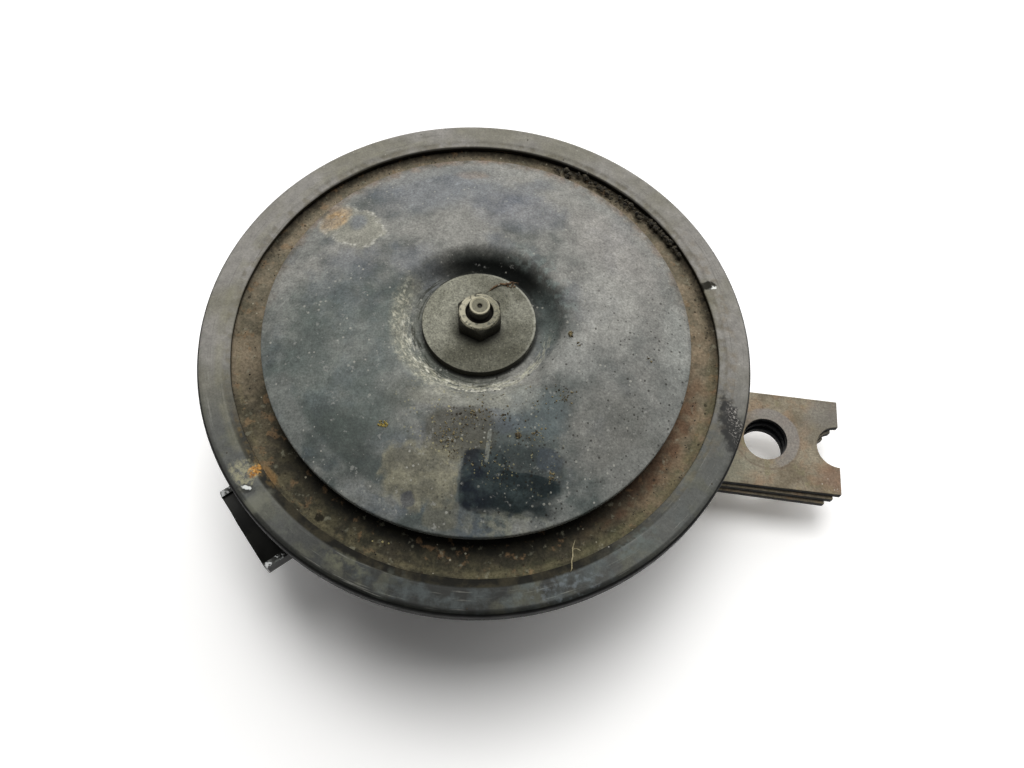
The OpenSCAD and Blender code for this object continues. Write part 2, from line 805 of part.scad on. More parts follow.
// Prism along X that is full width in front and narrower towards its rear
module keyed_prism(from_x, to_x, w, h) {
    translate([from_x, 0, 0]) rotate([90, 0, 90]) linear_extrude(to_x - from_x) polygon([
        [-w / 2, h / 2], [-w / 2, h / 2 - straight_side_h], [-w / 2 + connector_taper, -h / 2],
        [w / 2 - connector_taper, -h / 2], [w / 2, h / 2 - straight_side_h], [w / 2, h / 2]
    ]);
}

module shroud_body() {
    back_x = cup_bore_r - connector_side;
    difference() {
        union() {
            keyed_prism(back_x, connector_reach, connector_w, connector_h);
            for (side = [0, 1]) mirror([0, side, 0])
                translate([back_x, connector_w / 2 - rail_w, connector_h / 2])
                    cube([connector_reach - back_x, rail_w, rail_h]);
        }
        on_axis() translate([0, 0, -connector_h]) cylinder(h = 2 * connector_h, r = ear_x);
    }
    saddle(ear_x, ear_x + ear_t);
    window(neck_x, cavity_x, 0);
}

module connector_shroud() {
    color("black") difference() {
        in_connector_frame() difference() {
            shroud_body();
            keyed_prism(cavity_x, connector_reach + cut, inner_w, inner_h);
            for (side = [-1, 1]) blade(side, rivet_fit);
        }
        ear_rivet_holes();
    }
}

// Blades stand on edge, one at each side of the connector's middle
module blade(side, gap) {
    translate([neck_x - cut, side * blade_pitch / 2 - blade_t / 2 - gap, -blade_w / 2 - gap])
        cube([blade_tip_x - neck_x + cut, blade_t + 2 * gap, blade_w + 2 * gap]);
}

module terminal(side) {
    in_connector_frame() {
        blade(side, 0);
        translate([blade_tail_x, side * blade_pitch / 2 - blade_t / 2, -tail_h / 2])
            cube([neck_x - blade_tail_x, blade_t, tail_h]);
    }
}

module left_terminal() {
    color("gold") terminal(1);
}

module right_terminal() {
    color("gold") terminal(-1);
}

module connector_gasket() {
    color("black") difference() {
        in_connector_frame() difference() {
            saddle(cup_r, ear_x);
            window(neck_x, cavity_x, loose_fit);
        }
        ear_rivet_holes();
    }
}

// The inner heads stand off the hollow side of the cup by the depth of its curve across a head
module connector_rivets() {
    stand_off = ear_rivet_head_r * ear_rivet_head_r / (2 * cup_bore_r);
    grip = cup_t + ear_gasket_t + ear_t + stand_off + rivet_fit;
    color("lightgray") for (side = [-1, 1]) ear_rivet_place(side) translate([0, 0, -stand_off])
        rivet(ear_rivet_r, grip, ear_rivet_head_r, ear_rivet_head_h);
}

// Internal leads, in the magnet's frame: from the terminals' tails to the winding and to the breaker's stack

function tail_point(side, x) =
    let (a = connector_angle - magnet_angle, y = connector_side + side * blade_pitch / 2)
    [x * cos(a) - y * sin(a), x * sin(a) + y * cos(a), connector_z];

function winding_point(angle, gap) =
    let (r = winding_r + gap)
    [r * cos(angle), r * sin(angle), lead_z];

module supply_lead() {
    color("firebrick") in_magnet_frame() wire([
        tail_point(-1, blade_tail_x),
        tail_point(-1, blade_tail_x - lead_stub),
        winding_point(supply_lead_angle, lead_stub),
        winding_point(supply_lead_angle, lead_gap)
    ], lead_r, [0, 0, 1]);
}

module return_lead() {
    arm_z = fixed_arm_z + fixed_arm_t / 2;
    color("firebrick") in_magnet_frame() wire([
        tail_point(1, blade_tail_x),
        tail_point(1, blade_tail_x - lead_stub),
        [stack_x, return_lead_y, arm_z],
        [stack_x, -stack_w / 2, arm_z]
    ], lead_r, [1, 0, 0]);
}

module coil_lead() {
    arm_z = moving_arm_z + moving_arm_t / 2;
    color("firebrick") in_magnet_frame() wire([
        winding_point(coil_lead_angle, lead_gap),
        winding_point(coil_lead_angle, lead_stub),
        [coil_lead_x, coil_lead_y, lead_z],
        [coil_lead_x, coil_lead_y, arm_z],
        [coil_lead_x, -stack_w / 2, arm_z]
    ], lead_r, [0.8, 0.6, 0]);
}

// Pieces of the bracket

// One leaf: round end over the stud, fixing hole and the half-round notch at the far end
module leaf(index) {
    notch_x = fix_hole_x + notch_pitch;
    end_x = notch_x + leaf_past_notch - index * leaf_step;
    translate([0, 0, pad_z - (index + 1) * leaf_t]) difference() {
        union() {
            cylinder(h = leaf_t, r = leaf_w / 2);
            translate([0, -leaf_w / 2, 0]) cube([end_x, leaf_w, leaf_t]);
        }
        through_hole(stud_r + turn_fit, 0, leaf_t);
        for (x = [fix_hole_x, notch_x]) translate([x, 0, 0]) through_hole(fix_hole_r, 0, leaf_t);
    }
}

module front_leaf() {
    color("darkkhaki") leaf(0);
}

module middle_leaf() {
    color("olive") leaf(1);
}

module rear_leaf() {
    color("darkkhaki") leaf(2);
}

module lock_washer() {
    split_w = 0.8;
    split_turn = 120;
    color("lightgray") translate([0, 0, lock_washer_z]) difference() {
        ring_plate(stud_hole_r, lock_washer_r, lock_washer_t);
        rotate([0, 0, split_turn]) translate([0, -split_w / 2, -cut])
            cube([lock_washer_r + cut, split_w, lock_washer_t + 2 * cut]);
    }
}

module stud_nut() {
    color("lightgray") translate([0, 0, stud_nut_z]) rotate([0, 0, stud_nut_turn])
        hex_nut(stud_nut_flats, stud_nut_h, stud_hole_r);
}

rear_housing();
clamp_rim();
front_gasket();
diaphragm();
rear_gasket();
resonator_disc();
resonator_washer();
stem_nut();
stem();
spacer_bush();
front_washer();
rear_washer();
armature();
core_stud();
magnet_frame();
frame_rivets();
coil_bobbin();
coil_winding();
lower_insulator();
moving_arm();
moving_contact();
push_peg();
middle_insulator();
fixed_arm();
fixed_contact();
top_insulator();
clamp_plate();
breaker_rivets();
adjusting_screw();
adjuster_grommet();
connector_shroud();
connector_gasket();
connector_rivets();
left_terminal();
right_terminal();
supply_lead();
return_lead();
coil_lead();
front_leaf();
middle_leaf();
rear_leaf();
lock_washer();
stud_nut();
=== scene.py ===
"""Looks of an electric disc horn that lies on its back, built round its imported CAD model.

Sizes and places are in millimetres and angles in degrees, in the horn's own frame: +Z runs from the rear
stud to the striker stem, and +X along the bracket. Meshes are made in metres. Colours are the 0 to 255
values that a screen shows.
"""

import json
import logging
import math
from dataclasses import dataclass
from enum import Enum
from typing import Callable, Optional, Sequence, Union

import bmesh
import bpy
import numpy as np
from mathutils import Matrix, Vector


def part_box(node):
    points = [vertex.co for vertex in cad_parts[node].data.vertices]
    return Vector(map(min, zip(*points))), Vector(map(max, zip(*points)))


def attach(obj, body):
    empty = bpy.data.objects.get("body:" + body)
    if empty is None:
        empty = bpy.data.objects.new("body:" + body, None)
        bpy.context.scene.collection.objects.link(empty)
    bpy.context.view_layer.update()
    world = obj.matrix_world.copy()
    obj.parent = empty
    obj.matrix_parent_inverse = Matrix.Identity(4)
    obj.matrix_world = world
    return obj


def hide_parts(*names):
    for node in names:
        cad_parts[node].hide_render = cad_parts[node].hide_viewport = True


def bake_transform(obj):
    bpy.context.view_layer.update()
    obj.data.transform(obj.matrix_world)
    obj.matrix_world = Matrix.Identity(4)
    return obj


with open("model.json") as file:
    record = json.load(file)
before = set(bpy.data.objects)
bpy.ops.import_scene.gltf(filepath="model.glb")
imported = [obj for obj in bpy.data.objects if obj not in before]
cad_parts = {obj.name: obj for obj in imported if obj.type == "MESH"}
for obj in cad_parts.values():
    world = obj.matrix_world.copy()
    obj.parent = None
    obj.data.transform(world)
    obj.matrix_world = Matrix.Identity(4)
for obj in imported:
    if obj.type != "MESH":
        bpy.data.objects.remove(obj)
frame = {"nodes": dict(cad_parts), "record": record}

MM = 0.001
LOG = logging.getLogger("horn")

# Points nearer than TINY are one; then the angles up to which faces are flat, and from which edges look sharp
# and are rounded
TINY = 1e-6
FLAT_ANGLE = 0.5
SHARP_ANGLE = 34.0
BEVEL_ANGLE = 40.0

Array = np.ndarray
Colour = tuple[int, int, int]
Number = Union[float, "Value"]
Paint = Union[Colour, bpy.types.NodeSocket]
Ripple = Callable[[Array, Array, Array], tuple[Array, Array]]


class Body(Enum):
    """The CAD bodies that the pieces ride on."""

    HORN = "horn"
    STRIKER = "striker"
    TONGUE = "breaker_tongue"
    ADJUSTER = "adjuster"
    BRACKET = "bracket"


def linear(colour: Colour) -> tuple[float, ...]:
    """The linear values of a colour, from the ones that a screen shows for it."""
    return tuple(c / 255 / 12.92 if c < 11 else ((c / 255 + 0.055) / 1.055) ** 2.4 for c in colour)


def span(node: str) -> tuple[float, float, float]:
    """Outer radius, lowest and highest z of a CAD node that is round the axis, in millimetres.

    Args:
        node: name of the CAD node.

    Returns:
        The radius, from half the node's width along X, and the two heights.
    """
    low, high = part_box(node)
    return (high.x - low.x) / 2 / MM, low.z / MM, high.z / MM


# Shader maths


class Value:
    """A number that changes over a surface: an output socket with the usual operators."""

    def __init__(self, shader: "Graph", socket: bpy.types.NodeSocket) -> None:
        """Wraps the socket of one graph."""
        self.shader = shader
        self.socket = socket

    def maths(self, operation: str, *operands: Number) -> "Value":
        """The value of one Math node over these operands."""
        node = self.shader.node("ShaderNodeMath", {"operation": operation}, dict(enumerate(operands)))
        return Value(self.shader, node.outputs[0])

    def __add__(self, other: Number) -> "Value":
        """The sum."""
        return self.maths("ADD", self, other)

    __radd__ = __add__

    def __sub__(self, other: Number) -> "Value":
        """The difference."""
        return self.maths("SUBTRACT", self, other)

    def __rsub__(self, other: Number) -> "Value":
        """The difference, the other way round."""
        return self.maths("SUBTRACT", other, self)

    def __mul__(self, other: Number) -> "Value":
        """The product."""
        return self.maths("MULTIPLY", self, other)

    __rmul__ = __mul__

    def __truediv__(self, other: Number) -> "Value":
        """The quotient."""
        return self.maths("DIVIDE", self, other)

    def __pow__(self, other: Number) -> "Value":
        """The power."""
        return self.maths("POWER", self, other)

    def __abs__(self) -> "Value":
        """The absolute value."""
        return self.maths("ABSOLUTE", self)

    def larger(self, other: Number) -> "Value":
        """The larger of the two."""
        return self.maths("MAXIMUM", self, other)

    def ramp(self, low: float, high: float) -> "Value":
        """0 at low and 1 at high, smooth in between; low may be the larger one."""
        settings = {"interpolation_type": "SMOOTHSTEP"}
        node = self.shader.node("ShaderNodeMapRange", settings, {0: self, 1: low, 2: high, 3: 0.0, 4: 1.0})
        return Value(self.shader, node.outputs[0])


class Graph:
    """The node graph of a material or of the world."""

    def __init__(self, owner: Union[bpy.types.Material, bpy.types.World]) -> None:
        """Empties the owner's graph."""
        owner.use_nodes = True
        self.tree = owner.node_tree
        self.tree.nodes.clear()

    def node(self, kind: str, settings: Optional[dict] = None, inputs: Optional[dict] = None) -> bpy.types.Node:
        """Adds a node.

        Args:
            kind: the node's type.
            settings: the node's own settings, which are set first.
            inputs: a number, colour, socket or Value for each input, by name or place.

        Returns:
            The new node.
        """
        made = self.tree.nodes.new(kind)
        for key, setting in (settings or {}).items():
            setattr(made, key, setting)
        for key, given in (inputs or {}).items():
            socket = made.inputs[key]
            given = given.socket if isinstance(given, Value) else given
            if isinstance(given, bpy.types.NodeSocket):
                self.tree.links.new(given, socket)
            elif socket.type == "RGBA":
                socket.default_value = (*linear(given), 1.0)
            else:
                socket.default_value = given
        return made

    def rays(self, *kinds: str) -> Value:
        """1 for rays of these kinds, such as Camera, and 0 for all others."""
        path = self.node("ShaderNodeLightPath").outputs
        seen, *others = (Value(self, path[f"Is {kind} Ray"]) for kind in kinds)
        for other in others:
            seen = seen.larger(other)
        return seen


class Shader(Graph):
    """The node graph of one material, with places in millimetres of the horn's own frame."""

    def __init__(self, name: str) -> None:
        """Starts the graph with the place on the surface."""
        self.material = bpy.data.materials.new(name)
        super().__init__(self.material)
        at = self.node("ShaderNodeTexCoord").outputs["Object"]
        scaled = self.node("ShaderNodeVectorMath", {"operation": "SCALE"}, {0: at, "Scale": 1 / MM})
        self.place = scaled.outputs[0]
        parts = self.node("ShaderNodeSeparateXYZ", inputs={0: self.place}).outputs
        self.x, self.y, self.z = (Value(self, part) for part in parts)
        self.r = (self.x * self.x + self.y * self.y) ** 0.5
        self.up = Value(self, self.node("ShaderNodeSeparateXYZ", inputs={
            0: self.node("ShaderNodeTexCoord").outputs["Normal"]}).outputs[2])

    def shifted(self, seed: float) -> bpy.types.NodeSocket:
        """The place moved far away, so that patterns with other seeds don't look alike."""
        away = (seed * 37.0, seed * 61.0, seed * 17.0)
        return self.node("ShaderNodeVectorMath", {"operation": "ADD"}, {0: self.place, 1: away}).outputs[0]

    def noise(self, size: float, seed: float = 0, detail: float = 4, roughness: float = 0.55) -> Value:
        """Cloudy noise between about 0.2 and 0.8 with lumps of a size in millimetres."""
        inputs = {"Vector": self.shifted(seed), "Scale": 1 / size, "Detail": detail, "Roughness": roughness}
        return Value(self, self.node("ShaderNodeTexNoise", inputs=inputs).outputs[0])

    def cloud(self, size: float, seed: float, low: float, high: float, detail: float = 4,
              roughness: float = 0.55) -> Value:
        """Noise in patches: 0 where it is under low and 1 where it is over high."""
        return self.noise(size, seed, detail, roughness).ramp(low, high)

    def patch(self, x: float, y: float, half_x: float, half_y: float, turn: float = 0, power: float = 2,
              soft: float = 0.3, ragged: float = 0.6, grain: float = 2.5) -> Value:
        """A mark on a flat face, where |u|^power + |v|^power is under 1, with an edge that noise makes ragged.

        Args:
            x: where its centre is.
            y: where its centre is.
            half_x: half its size along u.
            half_y: half its size along v.
            turn: angle from x to u.
            power: 2 for an ellipse, more for a rectangle with rounded corners.
            soft: how soft its edge is.
            ragged: how far the noise moves the edge.
            grain: size of the noise's lumps.

        Returns:
            1 inside the mark and 0 outside it.
        """
        cosine, sine = math.cos(math.radians(turn)), math.sin(math.radians(turn))
        u = ((self.x - x) * cosine + (self.y - y) * sine) / half_x
        v = ((self.y - y) * cosine - (self.x - x) * sine) / half_y
        reach = abs(u) ** power + abs(v) ** power
        noise = (self.noise(grain, seed=x) - 0.5) * (2 * ragged)
        return (reach + noise).ramp(1 + soft, 1 - soft)

    def specks(self, pitch: float, share: float, radius: float, seed: float = 0) -> Value:
        """Round specks.

        Args:
            pitch: distance between the places that may have a speck.
            share: how many of the places have one, from 0 to 1.
            radius: the largest radius as a share of the pitch.
            seed: which pattern.

        Returns:
            1 on a speck and 0 elsewhere.
        """
        inputs = {"Vector": self.shifted(seed), "Scale": 1 / pitch}
        cells = self.node("ShaderNodeTexVoronoi", None, inputs)
        draw = Value(self, self.node("ShaderNodeSeparateColor", None, {0: cells.outputs["Color"]}).outputs[0])
        size = (draw - (1 - share)) * (radius / share)
        return (size - Value(self, cells.outputs["Distance"])).ramp(0.0, 0.08)

    def facing(self, angle: float) -> Value:
        """The cosine of the angle between the place's direction round the axis and this one."""
        turn = math.radians(angle)
        return (self.x * math.cos(turn) + self.y * math.sin(turn)) / self.r

    def band(self, inner: float, outer: float, soft: float = 0.3) -> Value:
        """1 between two distances from the axis."""
        return self.r.ramp(inner - soft, inner + soft) * self.r.ramp(outer + soft, outer - soft)

    def sector(self, angle: float, half: float, soft: float = 8.0) -> Value:
        """1 within half an opening angle on both sides of a direction round the axis."""
        edges = (math.cos(math.radians(min(half + soft, 180))), math.cos(math.radians(max(half - soft, 0))))
        return self.facing(angle).ramp(*edges)

    def streaks(self, across: float, along: float, seed: float = 0, detail: float = 4) -> Value:
        """Noise in streaks round the axis, with lumps of one size across the radius and one along the circle."""
        reach = 40.0 / along
        inputs = {0: self.x / self.r * reach, 1: self.y / self.r * reach, 2: self.r * (1 / across) + seed * 13.0}
        at = self.node("ShaderNodeCombineXYZ", None, inputs).outputs[0]
        inputs = {"Vector": at, "Scale": 1.0, "Detail": detail, "Roughness": 0.6}
        return Value(self, self.node("ShaderNodeTexNoise", inputs=inputs).outputs[0])

    def mix(self, factor: Number, first: Paint, second: Paint) -> bpy.types.NodeSocket:
        """The first colour at factor 0 and the second at 1."""
        return self.node("ShaderNodeMix", {"data_type": "RGBA"}, {0: factor, 6: first, 7: second}).outputs[2]

    def blend(self, factor: Number, first: Number, second: Number) -> Number:
        """The first number at factor 0 and the second at 1."""
        return first + (second - first) * factor


@dataclass
class Look:
    """What a surface shows at each place: its colour, gloss, metal and height in millimetres."""

    shader: Shader
    colour: Paint
    roughness: Number
    metallic: Number = 0.0
    height: Number = 0.0

    def cover(self, mask: Value, colour: Paint, roughness: Number, rise: float = 0.0,
              metallic: Optional[Number] = None) -> None:
        """Lays a coat over the surface.

        Args:
            mask: 1 where the coat covers the surface.
            colour: the coat's colour.
            roughness: the coat's roughness.
            rise: how far the coat stands above the surface.
            metallic: the coat's metallic value, or None to keep what is under it.
        """
        self.colour = self.shader.mix(mask, self.colour, colour)
        self.roughness = self.shader.blend(mask, self.roughness, roughness)
        if metallic is not None:
            self.metallic = self.shader.blend(mask, self.metallic, metallic)
        if rise:
            self.height = self.height + mask * rise

    def layers(self, *coats: tuple) -> None:
        """Lays several coats, each one given as cover's arguments, the lowest one first."""
        for coat in coats:
            self.cover(*coat)

    def mottle(self, size: float, seed: float, depth: float, detail: float = 4) -> None:
        """Makes the colour lighter and darker by up to about half of depth, in lumps of a size."""
        share = 1 + (self.shader.noise(size, seed, detail, 0.7) - 0.5) * (2 * depth)
        settings = {"data_type": "RGBA", "blend_type": "MULTIPLY"}
        self.colour = self.shader.node("ShaderNodeMix", settings, {0: 1.0, 6: self.colour, 7: share}).outputs[2]


class Finish:
    """A finish of the horn. Each kind says in look() what its surface shows."""

    name: str
    specular: float = 0.5
    listed: bool = True

    def look(self, s: Shader) -> Look:
        """The surface that this finish shows."""
        raise NotImplementedError

    def material(self) -> bpy.types.Material:
        """The material of this finish, made once."""
        known = bpy.data.materials.get(self.name + "_look")
        if known:
            return known
        s = Shader(self.name + "_look")
        look = self.look(s)
        inputs = {"Base Color": look.colour, "Roughness": look.roughness, "Metallic": look.metallic,
                  "Specular IOR Level": self.specular}
        if isinstance(look.height, Value):
            inputs["Normal"] = s.node("ShaderNodeBump", None, {"Distance": MM, "Height": look.height}).outputs[0]
        shader = s.node("ShaderNodeBsdfPrincipled", None, inputs)
        s.node("ShaderNodeOutputMaterial", None, {"Surface": shader.outputs[0]})
        return s.material


# Finishes


@dataclass(frozen=True)
class Metal(Finish):
    """Bare metal with stains that are duller and darker."""

    name: str
    colour: Colour
    stain: Colour
    roughness: float = 0.4
    stained: float = 0.5
    lumps: float = 3.0

    def look(self, s: Shader) -> Look:
        """Clean metal with cloudy stains and a fine grain."""
        look = Look(s, s.mix(s.noise(self.lumps, 1), self.colour, self.stain), self.roughness, 0.9)
        look.roughness = self.roughness + s.noise(0.8, 2) * 0.15
        look.height = s.noise(0.35, 3) * 0.015
        stains = s.cloud(self.lumps * 1.7, 4, 1 - self.stained, 1.15 - self.stained, 6)
        look.cover(stains, self.stain, self.roughness + 0.25, 0.02, 0.35)
        look.mottle(0.5, 6, 0.5, detail=3)
        look.cover(s.specks(1.1, 0.25, 0.3, 5) * 0.6, (48, 42, 34), 0.9, -0.02, 0.1)
        return look


@dataclass(frozen=True)
class Moulding(Finish):
    """Plastic, rubber, fibre or paper: a matt skin with a fine grain."""

    name: str
    colour: Colour
    faded: Colour
    roughness: float = 0.5
    grain: float = 0.5
    dusty: float = 0.35
    dust: Colour = (120, 115, 104)

    def look(self, s: Shader) -> Look:
        """A skin with cloudy fading, fine grain and a little dust that lies on the faces that look up."""
        look = Look(s, s.mix(s.cloud(4.0, 1, 0.35, 0.7), self.colour, self.faded), self.roughness)
        look.roughness = self.roughness + (s.noise(1.5, 2) - 0.5) * 0.3
        look.height = s.noise(self.grain, 3) * 0.02
        dusty = s.up.ramp(0.2, 0.9) * s.cloud(2.6, 5, 0.42, 0.68, 6) * self.dusty
        look.layers(
            (dusty, self.dust, 0.9),
            (s.specks(1.1, 0.3 * self.dusty, 0.22, 4), self.dust, 0.9, 0.02))
        return look


@dataclass(frozen=True)
class DiscPaint(Finish):
    """The resonator disc's worn paint: mottled greys with rust, stains, deposits and dust, with some painted
    reflection, highlights and shade.
    """

    name: str = "disc_paint"
    specular: float = 0.35

    def look(self, s: Shader) -> Look:
        """Clouds of grey that grow lighter towards the far side as a painted reflection, then the large stains,
        the deposits of the bowl, and grain and dust over all.
        """
        # The y and x terms make the grey lighter towards the far side and to the right: a painted reflection.
        tone = s.noise(15, 1, detail=4) * 0.9 + s.noise(4.5, 11, detail=5) * 0.55 + s.y * 0.004 + s.x * 0.0012
        base = s.mix(tone.ramp(0.52, 0.92), (62, 69, 66), (130, 129, 123))
        look = Look(s, base, 0.6)
        look.roughness = 0.5 + s.noise(6, 2, detail=5) * 0.3
        look.height = s.noise(1.1, 3, detail=6) * 0.04 + s.noise(0.35, 21, detail=2) * 0.02
        self.stains(s, look)
        self.bowl(s, look)
        look.mottle(0.4, 22, 0.75, detail=2)
        look.mottle(1.3, 23, 0.5)
        look.mottle(4.0, 32, 0.55)
        self.dust(s, look)
        return look

    def stains(self, s: Shader, look: Look) -> None:
        """Blue and green casts, the dark and pale rectangles near the edge, the rust at the far left, and painted
        highlights on the crest.
        """
        low = s.patch(9.9, -33.6, 9.1, 4.1, 0, 6, 0.35, 0.7, 2.5)
        low = low.larger(s.patch(4.6, -31.6, 4.0, 5.2, 0, 6, 0.35, 0.6, 2.5) * 0.9)
        dark = low.larger(s.patch(11.9, -29.2, 6.9, 4.6, 0, 5, 0.6, 0.9, 3) * 0.6)
        depth = s.cloud(3.5, 24, 0.42, 0.68, 5)
        left = s.x.ramp(9, 3) * 0.8
        beige = s.patch(-6.5, -32.0, 6.9, 6.0, 4, 3, 0.5, 1.5, 2.4) * s.x.ramp(0.5, 0.0) * (1 - dark)
        halo = s.patch(-28.6, 19.6, 6.8, 4.6, -28, 3, 0.3, 1.3, 3.0)
        outline = halo * (1 - s.patch(-28.6, 19.6, 6.2, 4.0, -28, 3, 0.3, 1.3, 3.0))
        rust = s.patch(-32.4, 21.4, 3.6, 2.2, 55, 2, 0.9, 0.9, 1.6)
        rim = s.band(37.5, 43, 0.9) * s.cloud(8, 7, 0.36, 0.56, 3)
        fringe = (s.r + (s.noise(2.0, 26, detail=5) - 0.5) * 5.0).ramp(39.6, 42.6) * s.sector(95, 75, 25)
        look.layers(
            (s.cloud(9, 4, 0.5, 0.68, 5) * 0.4, (72, 80, 92), 0.5),
            (s.patch(-25, -10, 14, 17, 25, soft=0.9, grain=4) * 0.5, (96, 104, 98), 0.6),
            (s.patch(-31, -11, 4, 5, 15, soft=0.9, grain=3) * 0.5, (80, 86, 82), 0.6),
            (s.patch(-21.5, -27, 8, 5, -40, soft=0.9, grain=3) * 0.7, (50, 58, 52), 0.55),
            (s.patch(-15, -24, 5, 3.5, -30, soft=0.9, grain=3) * 0.4, (70, 78, 72), 0.6),
            (s.patch(30, -4, 12, 30, 12, soft=0.9, grain=5) * 0.4, (128, 127, 122), 0.65),
            (s.patch(29, -21, 11, 8, -45, soft=0.9, grain=4) * 0.6, (88, 88, 82), 0.65),
            (s.patch(26, 22, 11, 7, -40, soft=0.9, grain=5) * 0.5, (150, 146, 140), 0.62),
            (s.patch(5, 27, 9, 5, 0, soft=0.8, grain=3) * 0.35, (98, 102, 114), 0.5),
            (s.patch(13.0, -18.0, 6.0, 4.5, -12, 3, 0.6, 0.9, 4) * 0.4, (84, 96, 98), 0.55),
            # The next two pale patches on the crest, at the right and near right, are painted highlights.
            (s.patch(9, -15.5, 4.5, 3, 15, soft=0.9, grain=3) * 0.5, (146, 146, 136), 0.65),
            (s.patch(18.5, -5.5, 4.5, 4.5, 0, soft=0.9, grain=3) * 0.5, (152, 152, 146), 0.65),
            (s.patch(39, 1, 3, 8, 0, soft=0.9, grain=3) * 0.5, (150, 152, 146), 0.6),
            (s.patch(-11.8, -17.4, 3.6, 3.2, 20, soft=0.9, grain=3) * 0.5, (82, 84, 76), 0.7),
            (s.patch(-0.6, -23.6, 6.5, 4.8, 2, 3, 0.6, 0.9, 3) * 0.8, (68, 66, 55), 0.75),
            (dark, s.mix(depth, s.mix(left, (22, 30, 31), (13, 18, 27)), (42, 50, 50)), 0.6, 0, 0.75),
            (dark * s.patch(16.4, -25.6, 2.6, 3.0, 0, 4, 0.5, 0.6, 2) * 0.6, (46, 54, 66), 0.55),
            (s.patch(10, -39.2, 8.5, 2.2, 4, 2, 0.9, 1.2, 2) * s.cloud(1.6, 38, 0.4, 0.6, 5) * 0.7,
             (112, 112, 98), 0.7),
            (s.patch(4.8, -25.6, 0.4, 3.0, 0, 4, 0.5, 0.5, 1) * 0.7, (116, 118, 110), 0.7),
            (beige * 0.8, s.mix(s.cloud(2.5, 39, 0.4, 0.6, 5), (98, 95, 80), (122, 118, 98)), 0.75),
            (s.patch(-2.0, -38.6, 3.0, 2.6, 0, 4, 0.6, 1.3, 2) * 0.4, (108, 103, 86), 0.75),
            (s.patch(-16, 29, 10, 5, 30, soft=0.9, grain=4) * 0.45, (98, 102, 106), 0.6),
            (s.patch(-14.5, -35.2, 1.9, 0.9, -25, 2, 0.7, 1.2, 1) * 0.7, (70, 72, 64), 0.6),
            (s.patch(-8.2, -36.6, 1.2, 1.4, 20, 3, 0.5, 0.9, 1) * 0.85, (52, 54, 58), 0.6),
            (s.patch(-11.2, -37.2, 1.1, 0.5, -20, 3, 0.5, 0.9, 1) * 0.8, (56, 58, 58), 0.6),
            (s.patch(-1.5, -16.8, 9, 1.9, 3, 3, 0.8, 1.0, 3) * 0.5, (140, 139, 126), 0.8),
            (s.patch(25, 6, 5.5, 9, 10, soft=0.9, grain=4) * 0.5, (158, 157, 150), 0.6),
            (halo * 0.6, (140, 138, 124), 0.8),
            (outline * s.cloud(1.2, 25, 0.45, 0.6), (178, 176, 166), 0.85, 0.02),
            (s.patch(-27.4, 20.6, 1.8, 2.0, 0, soft=0.8) * 0.6, (96, 102, 110), 0.6),
            (rust * 0.75, s.mix(s.cloud(0.9, 6, 0.4, 0.6), (150, 118, 74), (190, 158, 112)), 0.9, 0.03),
            (s.patch(-6, 36.5, 3.2, 1.2, 8, 2, 0.9, 1.2, 1.5) * 0.5, (150, 126, 100), 0.8),
            (s.patch(-12, 32, 12, 6, 15, soft=0.9, grain=5) * 0.5, (106, 110, 114), 0.6),
            (rim * 0.45, (120, 121, 116), 0.5),
            (fringe * 0.75, s.mix(s.cloud(3.5, 33, 0.42, 0.6, 5), (84, 76, 60), (126, 106, 88)), 0.85))

    def bowl(self, s: Shader, look: Look) -> None:
        """The bowl: painted shade on its wall at the far and right side, a painted shadow of the washer at the
        near side, and pale crust at the left and near side.
        """
        ragged = s.r + (s.noise(2.4, 8, detail=5) - 0.5) * 3.0
        arcs = s.streaks(0.5, 6, 9, 5).ramp(0.44, 0.6) * s.cloud(0.7, 10, 0.4, 0.58, 5, 0.7)
        crust = s.band(12.9, 15.0, 0.6) * s.sector(-120, 60, 24)
        smear = ragged.ramp(13.4, 15.0) * ragged.ramp(18.0, 15.6) * s.sector(-155, 46, 20)
        grooves = s.band(11.6, 13.4, 0.4) * s.sector(-155, 100, 25) * s.streaks(0.45, 14, 41, 3).ramp(0.48, 0.4)
        look.layers(
            # The next two coats are painted shade on the bowl's far and right wall, darkest low on the wall.
            (ragged.ramp(19.0, 14.4) * s.sector(74, 48, 42) * 0.9, (18, 24, 20), 0.8, 0, 0.6),
            (s.r.ramp(15.8, 14.2) * s.sector(80, 36, 28) * s.r.ramp(11.9, 12.5) * 0.85,
             (8, 10, 8), 0.9, 0, 0.8),
            (s.band(12.5, 15.6, 0.8) * s.sector(14, 20, 14) * 0.5, (84, 92, 88), 0.8),
            (s.band(15.5, 19.5, 1.0) * s.sector(42, 26, 14) * s.cloud(1.6, 40, 0.46, 0.62, 5) * 0.6,
             (116, 126, 122), 0.7),
            (s.band(14.0, 16.8, 1.2) * s.sector(200, 40, 24) * 0.4, (152, 151, 134), 0.85),
            (ragged.ramp(13.9, 12.6) * s.sector(-130, 70, 30) * 0.35, (92, 92, 78), 0.85),
            (crust * arcs, s.mix(s.noise(0.8, 27), (246, 244, 230), (184, 180, 160)), 0.95, 0.05),
            (smear * s.cloud(1.0, 28, 0.45, 0.62, 6, 0.75) * 0.85, (186, 183, 164), 0.9, 0.03),
            (s.band(13.0, 14.4, 0.3) * s.sector(-75, 60, 20) * s.streaks(0.35, 5, 29, 5).ramp(0.42, 0.58)
             * 0.75, (170, 168, 148), 0.85, 0.03),
            (grooves * 0.75, (52, 53, 44), 0.9, -0.04),
            # Painted shadow of the washer's edge on the near side.
            (s.r.ramp(11.9, 11.3) * s.sector(-80, 80, 40) * 0.9, (20, 21, 16), 0.9))

